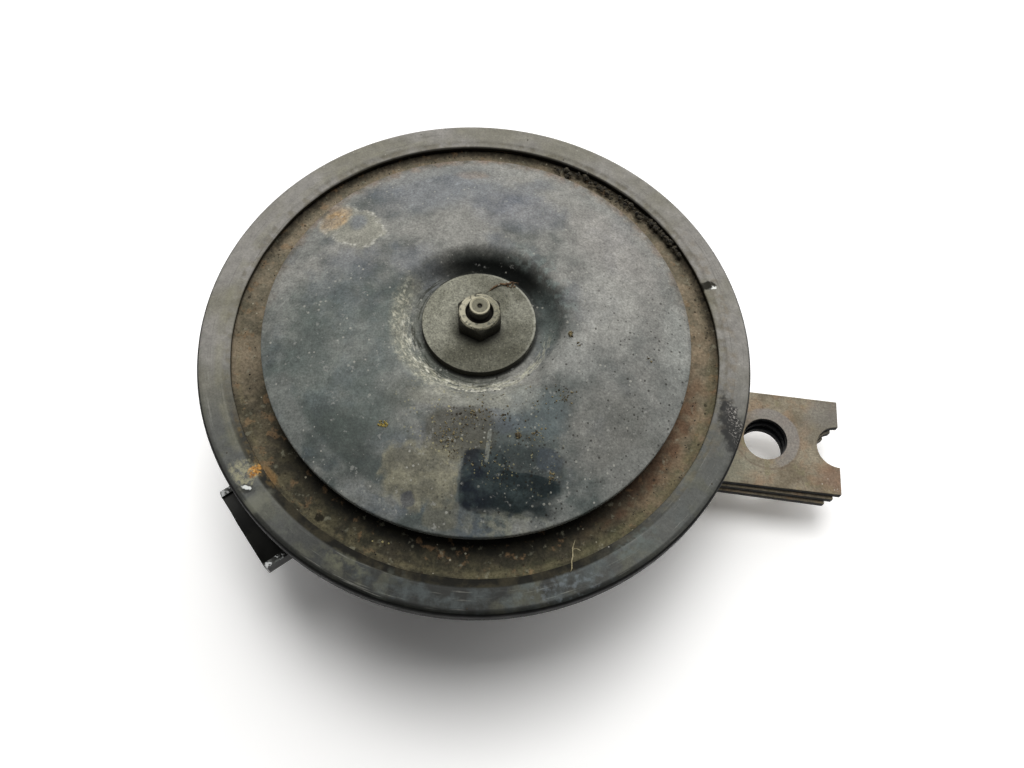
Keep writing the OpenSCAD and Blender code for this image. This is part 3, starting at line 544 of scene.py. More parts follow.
    def dust(self, s: Shader, look: Look) -> None:
        """Pin-holes, soot and dust in pale and brown specks, thicker at the right and near side."""
        sooty = (s.facing(-32) + (s.noise(7, 13) - 0.5)).ramp(0.0, 0.9)
        gritty = s.patch(3, -23, 14, 8, -20, 2, 0.9, 0.9, 5) * s.cloud(3.5, 31, 0.35, 0.6)
        look.layers(
            (s.specks(0.85, 0.6, 0.34, 14) * sooty * 0.75, (40, 38, 34), 0.9, 0.02),
            (s.specks(1.0, 0.5, 0.3, 15) * s.cloud(6, 16, 0.4, 0.56) * 0.7, (160, 159, 150), 0.9, 0.03),
            (s.cloud(1.7, 30, 0.6, 0.68, 6, 0.7) * 0.5, (152, 152, 146), 0.8, 0.02),
            (s.specks(3.0, 0.2, 0.1, 17) * 0.7, (180, 178, 170), 0.9, 0.04),
            (s.specks(0.62, 0.7, 0.4, 18) * gritty * 0.85, (158, 152, 118), 0.95, 0.04),
            (s.specks(0.7, 0.6, 0.4, 19) * gritty * 0.85, (52, 46, 34), 0.95, 0.04))


@dataclass(frozen=True)
class RingPaint(Finish):
    """The clamp ring's paint: pale and worn on the far side of its face; the near side of the face is painted dark
    as a dark reflection, and the black wall is painted darker still as shade.
    """

    name: str = "ring_paint"
    specular: float = 0.22

    def look(self, s: Shader) -> Look:
        """Worn olive grey on the face, painted darker towards the near side and on the near outer rounding, with
        rust in the lip and the marks that the ring has picked up.
        """
        # Black paint on the wall and back, painted darker still to stand in for shade.
        look = Look(s, s.mix(s.cloud(6, 1, 0.4, 0.65), (8, 9, 8), (17, 18, 16)), 0.55, 0.8)
        look.roughness = 0.5 + s.noise(4, 2) * 0.3
        look.height = s.noise(0.9, 3, detail=5) * 0.03 + s.noise(0.35, 8, detail=2) * 0.015
        face = s.z.ramp(47.0, 47.25)
        olive = s.mix(s.cloud(16, 5, 0.4, 0.62, 3), (120, 117, 105), (134, 131, 125))
        # near and shade paint the face darker towards the near side, from 84 down to 31: a painted dark
        # reflection.
        near = (s.facing(-84) + (s.noise(8, 4) - 0.5) * 0.35).ramp(-0.02, 0.5)
        shade = s.mix((1 - s.facing(-90)).ramp(0.0, 0.3), (31, 32, 28), (84, 85, 81))
        worn = face * near * s.cloud(6, 6, 0.5, 0.62, 6)
        look.layers(
            (face, s.mix(near, olive, shade), 0.55, 0, 0.0),
            (worn * 0.45, (96, 96, 82), 0.7),
            (face * near * s.sector(-75, 30, 18) * s.cloud(4, 9, 0.45, 0.65, 5) * 0.5, (84, 92, 92), 0.6),
            # Painted shade on the outer rounding of the near half.
            (face * s.r.ramp(53.6, 54.0) * s.facing(-90).ramp(0.35, 0.85) * 0.75, (20, 21, 18), 0.6),
            (face * s.streaks(0.45, 7, 7, 3).ramp(0.6, 0.72) * 0.3, (150, 149, 140), 0.5),
            (face * s.streaks(0.35, 10, 10, 3).ramp(0.4, 0.3) * 0.4, (70, 69, 62), 0.6))
        self.lip(s, look)
        look.mottle(0.4, 22, 0.4, detail=2)
        look.mottle(2.2, 23, 0.45)
        self.marks(s, look, face)
        return look

    def lip(self, s: Shader, look: Look) -> None:
        """Olive and rusty lip at the inner edge, with a dark line where it meets the face, and painted shade on
        its inner edge at the far side.
        """
        lip = s.r.ramp(50.3, 49.8)
        near = (s.facing(-98) + (s.noise(5, 24) - 0.5) * 0.3).ramp(0.3, 0.9)
        rusty = s.mix(s.cloud(4, 20, 0.42, 0.62, 6), (22, 21, 16), (50, 46, 34))
        stained = lip * (1 - near) * s.cloud(2.2, 35, 0.42, 0.62, 6)
        wall = s.z.ramp(47.22, 47.0) * s.r.ramp(49.3, 49.0)
        streak = s.band(48.3, 49.3, 0.3) * s.sector(-142, 5, 8) * s.cloud(1.4, 41, 0.4, 0.65)
        green = s.band(49.9, 51.4, 0.5) * s.sector(165, 60, 20) * s.cloud(4, 21, 0.35, 0.6, 5)
        brown = s.band(49.8, 52.0, 0.6) * s.sector(8, 24, 14) * s.cloud(2.2, 25, 0.42, 0.62, 6)
        look.layers(
            (lip * near, rusty, 0.85, 0.02),
            (stained * 0.5, (104, 98, 80), 0.8),
            (wall, (58, 54, 42), 0.9, 0, 0.2),
            # Painted shade on the lip's inner edge at the far side.
            (s.r.ramp(49.0, 48.6) * s.sector(90, 45, 20) * 0.85, (26, 24, 19), 0.9, 0, 0.3),
            (streak * 0.6, (118, 98, 60), 0.85),
            (green * 0.35, (124, 121, 100), 0.7),
            (brown * 0.4, (112, 98, 74), 0.85))

    def marks(self, s: Shader, look: Look, face: Value) -> None:
        """The orange spot and chip at the left, with a painted shadow round the chip, the tar at the right, scuffs
        near the front and dirt specks.
        """
        smear = s.patch(-39.2, -34.2, 2.4, 2.6, 45, 2, 1.0, 1.8, 1.4) * s.r.ramp(54.2, 53.2) * face
        spot = s.patch(-37.0, -33.1, 1.6, 1.0, 55, 2, 0.6, 1.8, 0.9)
        chip = s.patch(-37.9, -36.6, 0.95, 0.36, -8, 2, 0.5, 1.5, 0.5) * face
        tar = s.patch(51.2, -13.6, 2.2, 7.3, 15, 2, 0.5, 1.3, 1.3) * face
        crumbs = s.cloud(0.45, 31, 0.5, 0.58, 5, 0.75)
        look.layers(
            (smear * s.cloud(0.9, 36, 0.4, 0.58, 6, 0.7) * 0.8, (156, 152, 124), 0.7),
            (spot * s.cloud(0.5, 37, 0.36, 0.5, 5) * 0.9,
             s.mix(s.cloud(0.6, 30, 0.4, 0.6), (136, 90, 38), (206, 156, 84)), 0.9, 0.04),
            # A painted shadow round the chip.
            (s.patch(-37.8, -36.8, 1.5, 0.9, -8, 2, 0.6, 1.4, 0.7) * face * 0.7, (24, 24, 22), 0.7),
            (chip, (214, 216, 212), 0.5, 0.03),
            (s.patch(-36.6, -40.2, 4.2, 1.6, 42, 2, 0.9, 1.4, 1.5) * face * 0.55, (118, 118, 104), 0.65),
            (s.patch(46.9, 18.4, 0.8, 0.4, 10, 3, 0.3, 0.9, 0.5), (236, 236, 230), 0.6, 0.1),
            (s.patch(45.6, 18.8, 1.8, 0.9, 20, 2, 0.5, 1.6, 0.7), (40, 38, 30), 0.8, 0.12),
            (tar * 0.95, (44, 44, 43), 0.75, 0.1),
            (tar * crumbs * s.patch(52.0, -12.4, 1.7, 5.4, 14, 2, 0.6, 1.0, 1.2) * 0.9,
             (160, 156, 150), 0.9, 0.08))
        blotches = ((-18.0, -48.0, 4.6, -21, (104, 104, 86)), (-9.0, -49.6, 3.2, -10, (66, 68, 60)),
                    (33.0, -38.5, 5.0, 40, (98, 106, 102)), (-30.0, -42.5, 3.0, -35, (90, 92, 84)))
        for x, y, half, turn, shade in blotches:
            blotch = s.patch(x, y, half, 1.5, turn, 2, 0.8, 1.4, 2.0) * face
            look.cover(blotch * s.cloud(1.6, 42, 0.4, 0.6, 6) * 0.6, shade, 0.7, 0.02)
        scuff = s.patch(21.5, -47.6, 6.5, 2.0, 24, 2, 0.8, 1.3, 1.6) * face
        look.layers(
            (scuff * s.cloud(1.1, 32, 0.45, 0.68, 6) * 0.55, (112, 120, 124), 0.6, 0.02),
            (s.specks(1.7, 0.2, 0.16, 33) * face * 0.85, (58, 52, 42), 0.9, 0.04),
            (s.specks(1.4, 0.16, 0.15, 34) * face * 0.7, (172, 170, 160), 0.9, 0.03))


@dataclass(frozen=True)
class DiaphragmRust(Finish):
    """The diaphragm's rust: pink brown at the left, orange brown at the right, dark under the disc, with painted
    shadow below the disc's near edge and below the ring's lip.
    """

    name: str = "diaphragm_rust"
    specular: float = 0.2

    def look(self, s: Shader) -> Look:
        """Brown rust in clouds and flakes with dirt, darker towards the near side, where the darkening is partly
        darker rust and partly painted shade.
        """
        tone = s.noise(6, 1, detail=5) * 0.8 + s.noise(1.4, 2, detail=5) * 0.35
        look = Look(s, s.mix(tone.ramp(0.42, 0.74), (84, 78, 63), (134, 121, 101)), 0.88)
        look.height = s.noise(0.8, 3, detail=7, roughness=0.65) * 0.12
        near = (s.facing(-96) + (s.noise(9, 4) - 0.5) * 0.7).ramp(0.0, 0.85)
        right = s.sector(-8, 34, 18) * s.cloud(4, 6, 0.38, 0.6, 5)
        ruddy = s.sector(-28, 22, 12) * s.r.ramp(45.8, 44.6) * s.cloud(3, 15, 0.36, 0.56, 5)
        mossy = s.sector(-30, 50, 20) * s.r.ramp(45.6, 47.0) * s.cloud(3, 16, 0.36, 0.56, 5)
        olive = s.sector(140, 40, 16) * s.cloud(5, 7, 0.35, 0.6)
        far = (s.facing(84) + (s.noise(4, 11) - 0.5) * 0.3).ramp(-0.12, 0.4)
        depth = s.r + (s.noise(1.8, 14, detail=6, roughness=0.65) - 0.5) * 2.4
        below = s.facing(-90).ramp(0.1, 0.9)
        pale = s.band(46.9, 47.7, 0.3) * s.facing(-90).ramp(-0.1, 0.4) * s.cloud(1.6, 17, 0.36, 0.56, 4)
        orange = s.patch(-34.6, -33.0, 2.4, 0.7, -47, 2, 0.9, 1.4, 1.2)
        look.layers(
            # The near side: partly darker rust, partly painted shade under the disc.
            (near * 0.85, s.mix(s.cloud(3, 5, 0.42, 0.6, 6), (36, 37, 28), (74, 70, 52)), 0.85),
            (right * 0.4, (136, 112, 88), 0.9),
            (ruddy * 0.7, (98, 72, 54), 0.9),
            (mossy * 0.6, (86, 84, 62), 0.9),
            (olive * 0.6, (104, 100, 86), 0.85),
            (far * 0.65, s.mix(s.cloud(2.5, 19, 0.4, 0.6, 5), (104, 98, 82), (134, 122, 102)), 0.85),
            # Painted shadow below the ring's lip at the far side, partly dirt.
            (far * depth.ramp(45.7, 49.0),
             s.mix(s.cloud(1.2, 12, 0.5, 0.7, 5), (34, 31, 24), (70, 63, 50)), 0.95, 0, 0.2),
            # Painted shadow below the disc's edge at the near side.
            (s.r.ramp(46.4, 42.6) * below * 0.85, (12, 12, 9), 0.9),
            (pale * 0.3, (120, 112, 86), 0.9, 0.04),
            (orange * 0.45, (146, 110, 66), 0.9),
            (s.cloud(2.2, 8, 0.58, 0.68, 6) * 0.4, (136, 108, 78), 0.9, 0.04),
            (s.cloud(1.8, 13, 0.6, 0.7, 6) * 0.45, (132, 130, 112), 0.9, 0.04),
            (s.patch(-24.2, -40.0, 0.8, 0.8, 0, 2, 0.5, 1.2, 0.6) * 0.9, (28, 26, 18), 0.9, -0.06),
            (s.patch(-12.0, -42.8, 2.2, 1.0, 5, 2, 0.8, 0.9, 1) * s.specks(0.6, 0.6, 0.4, 18) * 0.9,
             (160, 148, 104), 0.9, 0.05))
        look.mottle(0.5, 22, 0.9, detail=3)
        look.layers(
            (s.specks(1.2, 0.35, 0.32, 9) * 0.75, (42, 37, 28), 0.9, -0.04),
            (s.specks(1.3, 0.22, 0.2, 10) * 0.7, (166, 160, 140), 0.9, 0.04),
            (s.r.ramp(40.5, 36) * 0.8, (48, 45, 38), 0.85))
        return look


@dataclass(frozen=True)
class BracketRust(Finish):
    """The bracket's leaves: khaki and brown rust, grey where washers sat, black on their cut edges."""

    name: str = "bracket_rust"
    specular: float = 0.25
    hole: tuple[float, float] = (67.9, 0.3)

    def look(self, s: Shader) -> Look:
        """Rust on the flat faces, the washer's clean print round the hole, dark edges, and painted shade on the
        hole's wall.
        """
        tone = s.noise(7, 1, detail=5) * 0.85 + s.noise(1.6, 2, detail=5) * 0.35
        look = Look(s, s.mix(tone.ramp(0.45, 0.78), (112, 102, 84), (146, 137, 118)), 0.7)
        look.roughness = 0.6 + s.noise(3, 4) * 0.3
        look.height = s.noise(0.7, 3, detail=7, roughness=0.65) * 0.07
        flecks = s.patch(82.2, -8.4, 2.6, 2.2, 0, 2, 0.9, 0.8, 1.5) * s.specks(0.7, 0.5, 0.36, 11)
        look.layers(
            (s.cloud(4, 5, 0.48, 0.64, 6) * 0.55, (144, 120, 96), 0.85),
            (s.cloud(3, 6, 0.54, 0.7, 5) * 0.5, (136, 130, 100), 0.8),
            (s.cloud(1.6, 7, 0.6, 0.72, 6) * 0.55, (92, 78, 64), 0.85, -0.02),
            (s.patch(84, 8, 6.5, 4, 0, 2, 0.9, 0.9, 3) * 0.6, (116, 114, 110), 0.6),
            (s.patch(79, 4, 4, 4, 0, 2, 0.9, 0.9, 3) * 0.4, (122, 118, 106), 0.6),
            (s.patch(83.5, -8, 4.2, 3.4, 0, 2, 0.9, 1.0, 2) * 0.6, (128, 100, 82), 0.85),
            (s.patch(60, -8, 5.0, 3.6, 20, 2, 0.9, 1.0, 3) * 0.5, (146, 146, 128), 0.75),
            (flecks, (206, 202, 190), 0.8, 0.06))
        out_x, out_y = (s.x - self.hole[0], s.y - self.hole[1])
        away = (out_x * out_x + out_y * out_y) ** 0.5
        from_hole = away + (s.noise(1.5, 8) - 0.5) * 0.8
        top = s.z.ramp(15.7, 15.9)
        clean = ((out_x * 0.85 + out_y * 0.5) / away + (s.noise(3, 13) - 0.5)).ramp(-0.75, 0.35)
        worn = from_hole.ramp(7.3, 7.6) * from_hole.ramp(8.1, 7.7) * top * (out_y / away).ramp(0.4, -0.4)
        look.layers(
            (from_hole.ramp(7.7, 7.1) * top * clean * 0.75,
             s.mix(s.noise(2, 9, detail=5), (116, 113, 110), (138, 132, 126)), 0.5),
            (worn * 0.45, (104, 88, 76), 0.8))
        look.mottle(0.5, 22, 0.8, detail=3)
        edge = abs(s.up).ramp(0.75, 0.35)
        look.layers(
            (edge, s.mix(s.cloud(2, 10, 0.5, 0.7, 5), (12, 11, 10), (42, 37, 26)), 0.75),
            # Painted shade on the wall of the hole.
            (away.ramp(6.2, 5.8) * s.z.ramp(15.98, 15.85), (5, 6, 8), 0.6, 0, 0.8))
        return look


@dataclass(frozen=True)
class DustySteel(Finish):
    """Steel under a film of olive dust: the plate washer, the stem's nut and the stem."""

    name: str = "dusty_steel"
    specular: float = 0.3

    def look(self, s: Shader) -> Look:
        """A dusty film on the faces that look up, dark steel on the sides, and grit, with painted shade in the
        stem's centre hole and in the nut round the stem, and a painted shadow of the nut on the washer.
        """
        look = Look(s, s.mix(s.noise(2.4, 1), (20, 19, 15), (52, 50, 40)), 0.7, 0.1)
        look.height = s.noise(0.45, 3, detail=5, roughness=0.7) * 0.06
        top = s.up.ramp(0.86, 0.97)
        dusty = s.mix(s.cloud(6, 4, 0.36, 0.64, 4), (98, 97, 84), (128, 127, 114))
        near = (s.facing(-70) + (s.noise(4, 5) - 0.5) * 0.6).ramp(-0.2, 0.9) * s.band(5.0, 11.5, 0.8)
        left = s.sector(160, 60, 30) * s.band(6.0, 11.5, 1.0)
        look.layers(
            (top, dusty, 0.75, 0, 0.05),
            (near * top * 0.7, (70, 69, 56), 0.75),
            (left * top * 0.4, (142, 141, 126), 0.75))
        look.mottle(0.35, 22, 1.15, detail=2)
        look.mottle(1.2, 23, 0.5)
        nut = s.z.ramp(55.5, 56.5)
        crown = s.z.ramp(57.3, 57.6) * s.band(2.7, 4.1, 0.2) * s.z.ramp(58.2, 58.0)
        look.layers(
            (s.specks(0.5, 0.5, 0.36, 6) * top * 0.35, (150, 148, 130), 0.9, 0.03),
            (s.specks(0.6, 0.45, 0.36, 7) * top * 0.4, (56, 53, 43), 0.9, -0.03),
            (s.band(10.6, 11.3, 0.15) * s.sector(30, 50, 30) * s.cloud(1.2, 12, 0.35, 0.55) * 0.6,
             (164, 163, 150), 0.5, 0, 0.2),
            (crown * s.cloud(0.6, 13, 0.36, 0.5, 4) * 0.85,
             s.mix(s.facing(170).ramp(-0.8, 0.9), (140, 136, 116), (190, 184, 160)), 0.7, 0, 0.05),
            # Painted shade on the stem inside the nut's recess.
            (nut * s.r.ramp(2.75, 2.55) * s.z.ramp(58.6, 57.6) * 0.9, (26, 24, 18), 0.9, 0, 0),
            # Painted shade in the centre hole of the stem's end.
            (s.r.ramp(0.75, 0.45) * s.z.ramp(59.0, 59.6) * 0.9, (20, 19, 16), 0.9, 0, 0),
            (s.band(1.5, 1.95, 0.1) * s.z.ramp(59.5, 59.8) * 0.8, (190, 184, 158), 0.6, 0, 0.1),
            (s.r.ramp(1.5, 1.3) * s.z.ramp(59.6, 59.8) * 0.5, (128, 124, 104), 0.7, 0, 0.1),
            # Painted shadow of the nut on the washer's near side.
            (s.r.ramp(6.6, 4.2) * s.z.ramp(54.6, 53.9) * s.facing(-85).ramp(-0.2, 0.8) * 0.85,
             (22, 22, 16), 0.9, 0, 0))
        return look


@dataclass(frozen=True)
class HousingPaint(Finish):
    """Satin black paint with dust and a few rust spots."""

    name: str = "housing_paint"

    def look(self, s: Shader) -> Look:
        """Black paint with a light orange-peel, dust in clouds and rust that comes through."""
        look = Look(s, s.mix(s.cloud(12, 1, 0.4, 0.65, 6), (22, 23, 24), (34, 35, 34)), 0.45)
        look.roughness = 0.36 + s.noise(5, 2) * 0.3
        look.height = s.noise(1.6, 3) * 0.03 + s.noise(0.5, 7, detail=3) * 0.012
        grime = s.cloud(5, 5, 0.46, 0.72, 7, 0.65)
        low = s.z.ramp(26, 18)
        pits = s.noise(2.6, 4, detail=8, roughness=0.6) + low * 0.04
        look.layers(
            (grime * 0.5, (84, 79, 68), 0.9),
            (low * s.cloud(3.4, 8, 0.38, 0.72, 8, 0.65) * 0.5, (98, 91, 77), 0.9, 0.02),
            (pits.ramp(0.62, 0.68) * 0.8, (58, 40, 28), 0.9),
            (pits.ramp(0.66, 0.7), s.mix(s.noise(0.5, 9), (86, 54, 34), (128, 84, 50)), 0.95, 0.04),
            (s.specks(2.0, 0.25, 0.16, 6) * 0.8, (128, 120, 102), 0.9, 0.03))
        look.mottle(0.5, 10, 0.4, detail=3)
        return look


@dataclass(frozen=True)
class ShroudPlastic(Finish):
    """The connector's black plastic, painted pale along its two raised rails: partly scuffs, partly painted
    highlights.
    """

    name: str = "black_plastic"
    specular: float = 0.3
    rail_z: float = 37.3

    def look(self, s: Shader) -> Look:
        """Nearly black, glossy plastic with a fine grain, and grey scuffs and painted highlights on the rails and
        worn edges.
        """
        look = Look(s, s.mix(s.cloud(5, 1, 0.35, 0.7), (12, 12, 10), (26, 26, 23)), 0.35, 0.6)
        look.roughness = 0.3 + s.noise(1.5, 2) * 0.2
        look.height = s.noise(0.6, 3) * 0.015
        rail_scuff_and_highlight = s.z.ramp(self.rail_z, self.rail_z + 0.4) * s.up.ramp(0.3, 0.8)
        # The rails' grey and near-white marks are partly scuffs and partly painted highlights.
        look.layers(
            (rail_scuff_and_highlight * s.cloud(1.8, 4, 0.46, 0.6, 5) * 0.6, (88, 90, 86), 0.4, 0, 0.2),
            (rail_scuff_and_highlight * s.cloud(0.9, 5, 0.56, 0.62, 4) * 0.8, (190, 192, 190), 0.35, 0, 0.0),
            (s.specks(2.2, 0.3, 0.12, 6) * 0.7, (120, 118, 108), 0.8))
        return look


@dataclass(frozen=True)
class RoadDirt(Finish):
    """Grit and dried mud: each lump takes its own brown from the place it lies at."""

    name: str
    dark: Colour
    light: Colour
    pale: float = 0.3
    listed: bool = False

    def look(self, s: Shader) -> Look:
        """Grains in browns and greys with a rough, dull face."""
        look = Look(s, s.mix(s.cloud(0.9, 1, 0.36, 0.64, 2, 0.9), self.dark, self.light), 0.95)
        look.height = s.noise(0.25, 2) * 0.05
        look.cover(s.specks(1.5, self.pale, 0.4, 3) * 0.9, (172, 164, 144), 0.9)
        return look


class Finishes(Enum):
    """The horn's finishes, one for each material slot of the record, and those of the dirt that lies on it."""

    HOUSING = HousingPaint()
    RING = RingPaint()
    DISC = DiscPaint()
    DIAPHRAGM = DiaphragmRust()
    BRACKET = BracketRust()
    DUSTY_STEEL = DustySteel()
    PLAIN_STEEL = Metal("plain_steel", (150, 148, 142), (88, 76, 64), 0.42, 0.45)
    SOFT_IRON = Metal("soft_iron", (132, 130, 128), (96, 72, 54), 0.5, 0.5)
    PLATED = Metal("plated_steel", (168, 164, 150), (112, 96, 76), 0.36, 0.4)
    COPPER = Metal("copper_wire", (176, 96, 56), (120, 62, 38), 0.3, 0.35)
    BRONZE = Metal("spring_bronze", (186, 132, 74), (118, 84, 52), 0.32, 0.35)
    CONTACT = Metal("contact_metal", (190, 188, 184), (70, 68, 70), 0.25, 0.35)
    SCREW_BRASS = Metal("screw_brass", (186, 152, 78), (110, 88, 48), 0.35, 0.45)
    TERMINAL = Metal("terminal_brass", (200, 168, 92), (124, 100, 60), 0.3, 0.35)
    GASKET = Moulding("gasket_paper", (92, 66, 44), (116, 88, 60), 0.95, 0.4)
    FIBRE = Moulding("fibre_board", (128, 84, 52), (148, 104, 68), 0.8, 0.4)
    BOBBIN = Moulding("bobbin_plastic", (196, 190, 170), (176, 166, 140), 0.45, 0.8)
    RUBBER = Moulding("black_rubber", (28, 28, 29), (46, 45, 44), 0.8, 0.4)
    PLASTIC = ShroudPlastic()
    LEAD = Moulding("lead_plastic", (128, 30, 26), (146, 48, 40), 0.4, 0.5)
    GRIT = RoadDirt("road_grit", (44, 36, 26), (132, 120, 86))
    GRAVEL = RoadDirt("dark_gravel", (20, 18, 14), (70, 64, 50), 0.12)
    GOLD = RoadDirt("yellow_sand", (92, 78, 34), (168, 150, 78), 0.1)
    MUD = RoadDirt("dried_mud", (52, 38, 26), (112, 88, 62))
    STRAW = RoadDirt("dry_straw", (128, 118, 88), (172, 162, 130))


# Surfaces


def rounded(outline: Array, radius: float, steps: int = 4, closed: bool = True) -> Array:
    """An outline with each corner rounded.

    Each corner C becomes a parabola from A to B, the points at the rounding's distance from C along its two
    sides: (1 - t)^2 A + 2 t (1 - t) C + t^2 B. The distance is at most 0.45 of the shorter side.

    Args:
        outline: corners as rows of (radius, height).
        radius: distance of A and B from the corner.
        steps: number of pieces of each rounding.
        closed: False for a line whose two ends stay as they are.

    Returns:
        The points of the rounded outline.
    """
    before, after = np.roll(outline, 1, 0) - outline, np.roll(outline, -1, 0) - outline
    sides = np.linalg.norm(before, axis=1), np.linalg.norm(after, axis=1)
    reach = np.minimum(radius, 0.45 * np.minimum(*sides))
    start = outline + before * (reach / sides[0])[:, None]
    end = outline + after * (reach / sides[1])[:, None]
    t = np.linspace(0, 1, steps + 1)[None, :, None]
    corners = (1 - t) ** 2 * start[:, None] + 2 * t * (1 - t) * outline[:, None] + t**2 * end[:, None]
    if closed:
        return corners.reshape(-1, 2)
    return np.vstack([outline[:1], corners[1:-1].reshape(-1, 2), outline[-1:]])


def divided(line: Array, step: float) -> Array:
    """A line with extra points, so that none of its sides is longer than about a step.

    The line's own points stay: the new ones lie at whole steps of its running length.
    """
    length = np.concatenate([[0], np.cumsum(np.linalg.norm(np.diff(line, axis=0), axis=1))])
    keep = np.concatenate([[True], np.diff(length) > TINY])
    line, length = line[keep], length[keep]
    marks = np.unique(np.round(np.concatenate([length, np.arange(0, length[-1], step)]), 4))
    return np.column_stack([np.interp(marks, length, line[:, axis]) for axis in range(2)])


def placed(name: str, data: bpy.types.ID) -> bpy.types.Object:
    """A new object in the scene that shows a mesh, a lamp or a camera."""
    made = bpy.data.objects.new(name, data)
    bpy.context.scene.collection.objects.link(made)
    return made


def meshed(name: str, places: Array, faces: Sequence[Sequence[int]]) -> bpy.types.Mesh:
    """A mesh of places in millimetres and faces that name their corners."""
    mesh = bpy.data.meshes.new(name)
    mesh.from_pydata((places * MM).tolist(), [], faces)
    return mesh


def smooth(mesh: bpy.types.Mesh, sharp: float = SHARP_ANGLE) -> None:
    """Shades a mesh smooth, apart from the edges between faces that meet at more than an angle."""
    mesh.shade_smooth()
    mesh.set_sharp_from_angle(angle=math.radians(sharp))


def welded(mesh: bpy.types.Mesh) -> bmesh.types.BMesh:
    """The editable shape of a CAD mesh, whose loose triangles are merged."""
    shape = bmesh.new()
    shape.from_mesh(mesh)
    bmesh.ops.remove_doubles(shape, verts=shape.verts, dist=TINY)
    return shape


def angles(columns: int) -> Array:
    """Even angles round the axis in radians, as one row."""
    return np.linspace(0, 2 * np.pi, columns, endpoint=False)[None, :]


def around(radius: Array, angle: Array, height: Array) -> Array:
    """Places round the axis: (r cos a, r sin a, z)."""
    return np.stack([radius * np.cos(angle), radius * np.sin(angle), height], -1)


def skin(name: str, points: Array, ring: bool, sharp: float = SHARP_ANGLE) -> bpy.types.Object:
    """A closed mesh over a grid of points.

    Neighbours in the grid share faces, the last column meets the first one, and the faces are turned so that
    the mesh's signed volume is positive.

    Args:
        name: the piece's name.
        points: (rows, columns, 3) places in millimetres.
        ring: True where the last row meets the first one; otherwise both end rows are poles of one point.
        sharp: edges between faces that meet at more than this angle look sharp.

    Returns:
        The new object, in metres.
    """
    rows, columns = points.shape[:2]
    ids = np.arange(rows * columns).reshape(rows, columns)
    if not ring:
        ids[0], ids[-1] = ids[0, 0], ids[-1, 0]
    lower = ids if ring else ids[:-1]
    upper = np.roll(ids, -1, 0) if ring else ids[1:]
    quads = np.stack([lower, np.roll(lower, -1, 1), np.roll(upper, -1, 1), upper], -1)
    places = points.reshape(-1, 3)
    a, b, c, d = (places[quads[..., k]] for k in range(4))
    volume = np.sum(np.cross(a, b) * c) + np.sum(np.cross(a, c) * d)
    used = np.unique(ids)
    renamed = np.zeros(rows * columns, int)
    renamed[used] = np.arange(used.size)
    quads = renamed[quads if volume > 0 else quads[..., ::-1]]
    if ring:
        faces = quads.reshape(-1, 4).tolist()
    else:
        first = quads[0][:, [0, 2, 3] if volume > 0 else [0, 1, 3]]
        last = quads[-1][:, [0, 1, 2] if volume > 0 else [1, 2, 3]]
        faces = quads[1:-1].reshape(-1, 4).tolist() + first.tolist() + last.tolist()
    mesh = meshed(name, places[used], faces)
    smooth(mesh, sharp)
    return placed(name, mesh)


def turned(name: str, line: Array, columns: int, ring: bool = True, ripple: Optional[Ripple] = None,
           sharp: float = SHARP_ANGLE) -> bpy.types.Object:
    """A surface of revolution: each point (r, z) of the line becomes (r cos a, r sin a, z).

    Args:
        name: the piece's name.
        line: points of (radius, height); a ring's outline, or a line from one pole to the other.
        columns: number of points round the axis.
        ring: False for a line between poles.
        ripple: gives the radii and heights from the even ones and the angles in radians.
        sharp: see skin.

    Returns:
        The new object.
    """
    angle = angles(columns)
    radius = np.repeat(line[:, :1], columns, 1)
    height = np.repeat(line[:, 1:], columns, 1)
    if ripple:
        radius, height = ripple(radius, angle, height)
    return skin(name, around(radius, angle, height), ring, sharp)


def waves(angle: Array, counts: Sequence[int], seed: int) -> Array:
    """A sum of sines round the axis with these whole numbers of waves, drawn phases and a size of about 1."""
    phases = np.random.default_rng(seed).uniform(0, 2 * np.pi, len(counts))
    return sum(np.sin(count * angle + phase) for count, phase in zip(counts, phases)) / len(counts) ** 0.5


def softened(node: str, width: float, segments: int = 2) -> bpy.types.Object:
    """A copy of a CAD node whose sharp edges are rounded.

    Args:
        node: the CAD node, whose loose triangles are merged in the copy.
        width: width of the rounding in millimetres.
        segments: number of faces across the rounding.

    Returns:
        The new object, named after the node.
    """
    mesh = frame["nodes"][node].data.copy()
    shape = welded(mesh)
    bmesh.ops.dissolve_limit(shape, angle_limit=math.radians(FLAT_ANGLE), verts=shape.verts, edges=shape.edges)
    shape.to_mesh(mesh)
    shape.free()
    smooth(mesh)
    made = placed(node + "_skin", mesh)
    bevel = made.modifiers.new("rounding", "BEVEL")
    bevel.width = width * MM
    bevel.segments = segments
    bevel.limit_method = "ANGLE"
    bevel.angle_limit = math.radians(BEVEL_ANGLE)
    bevel.harden_normals = True
    return made


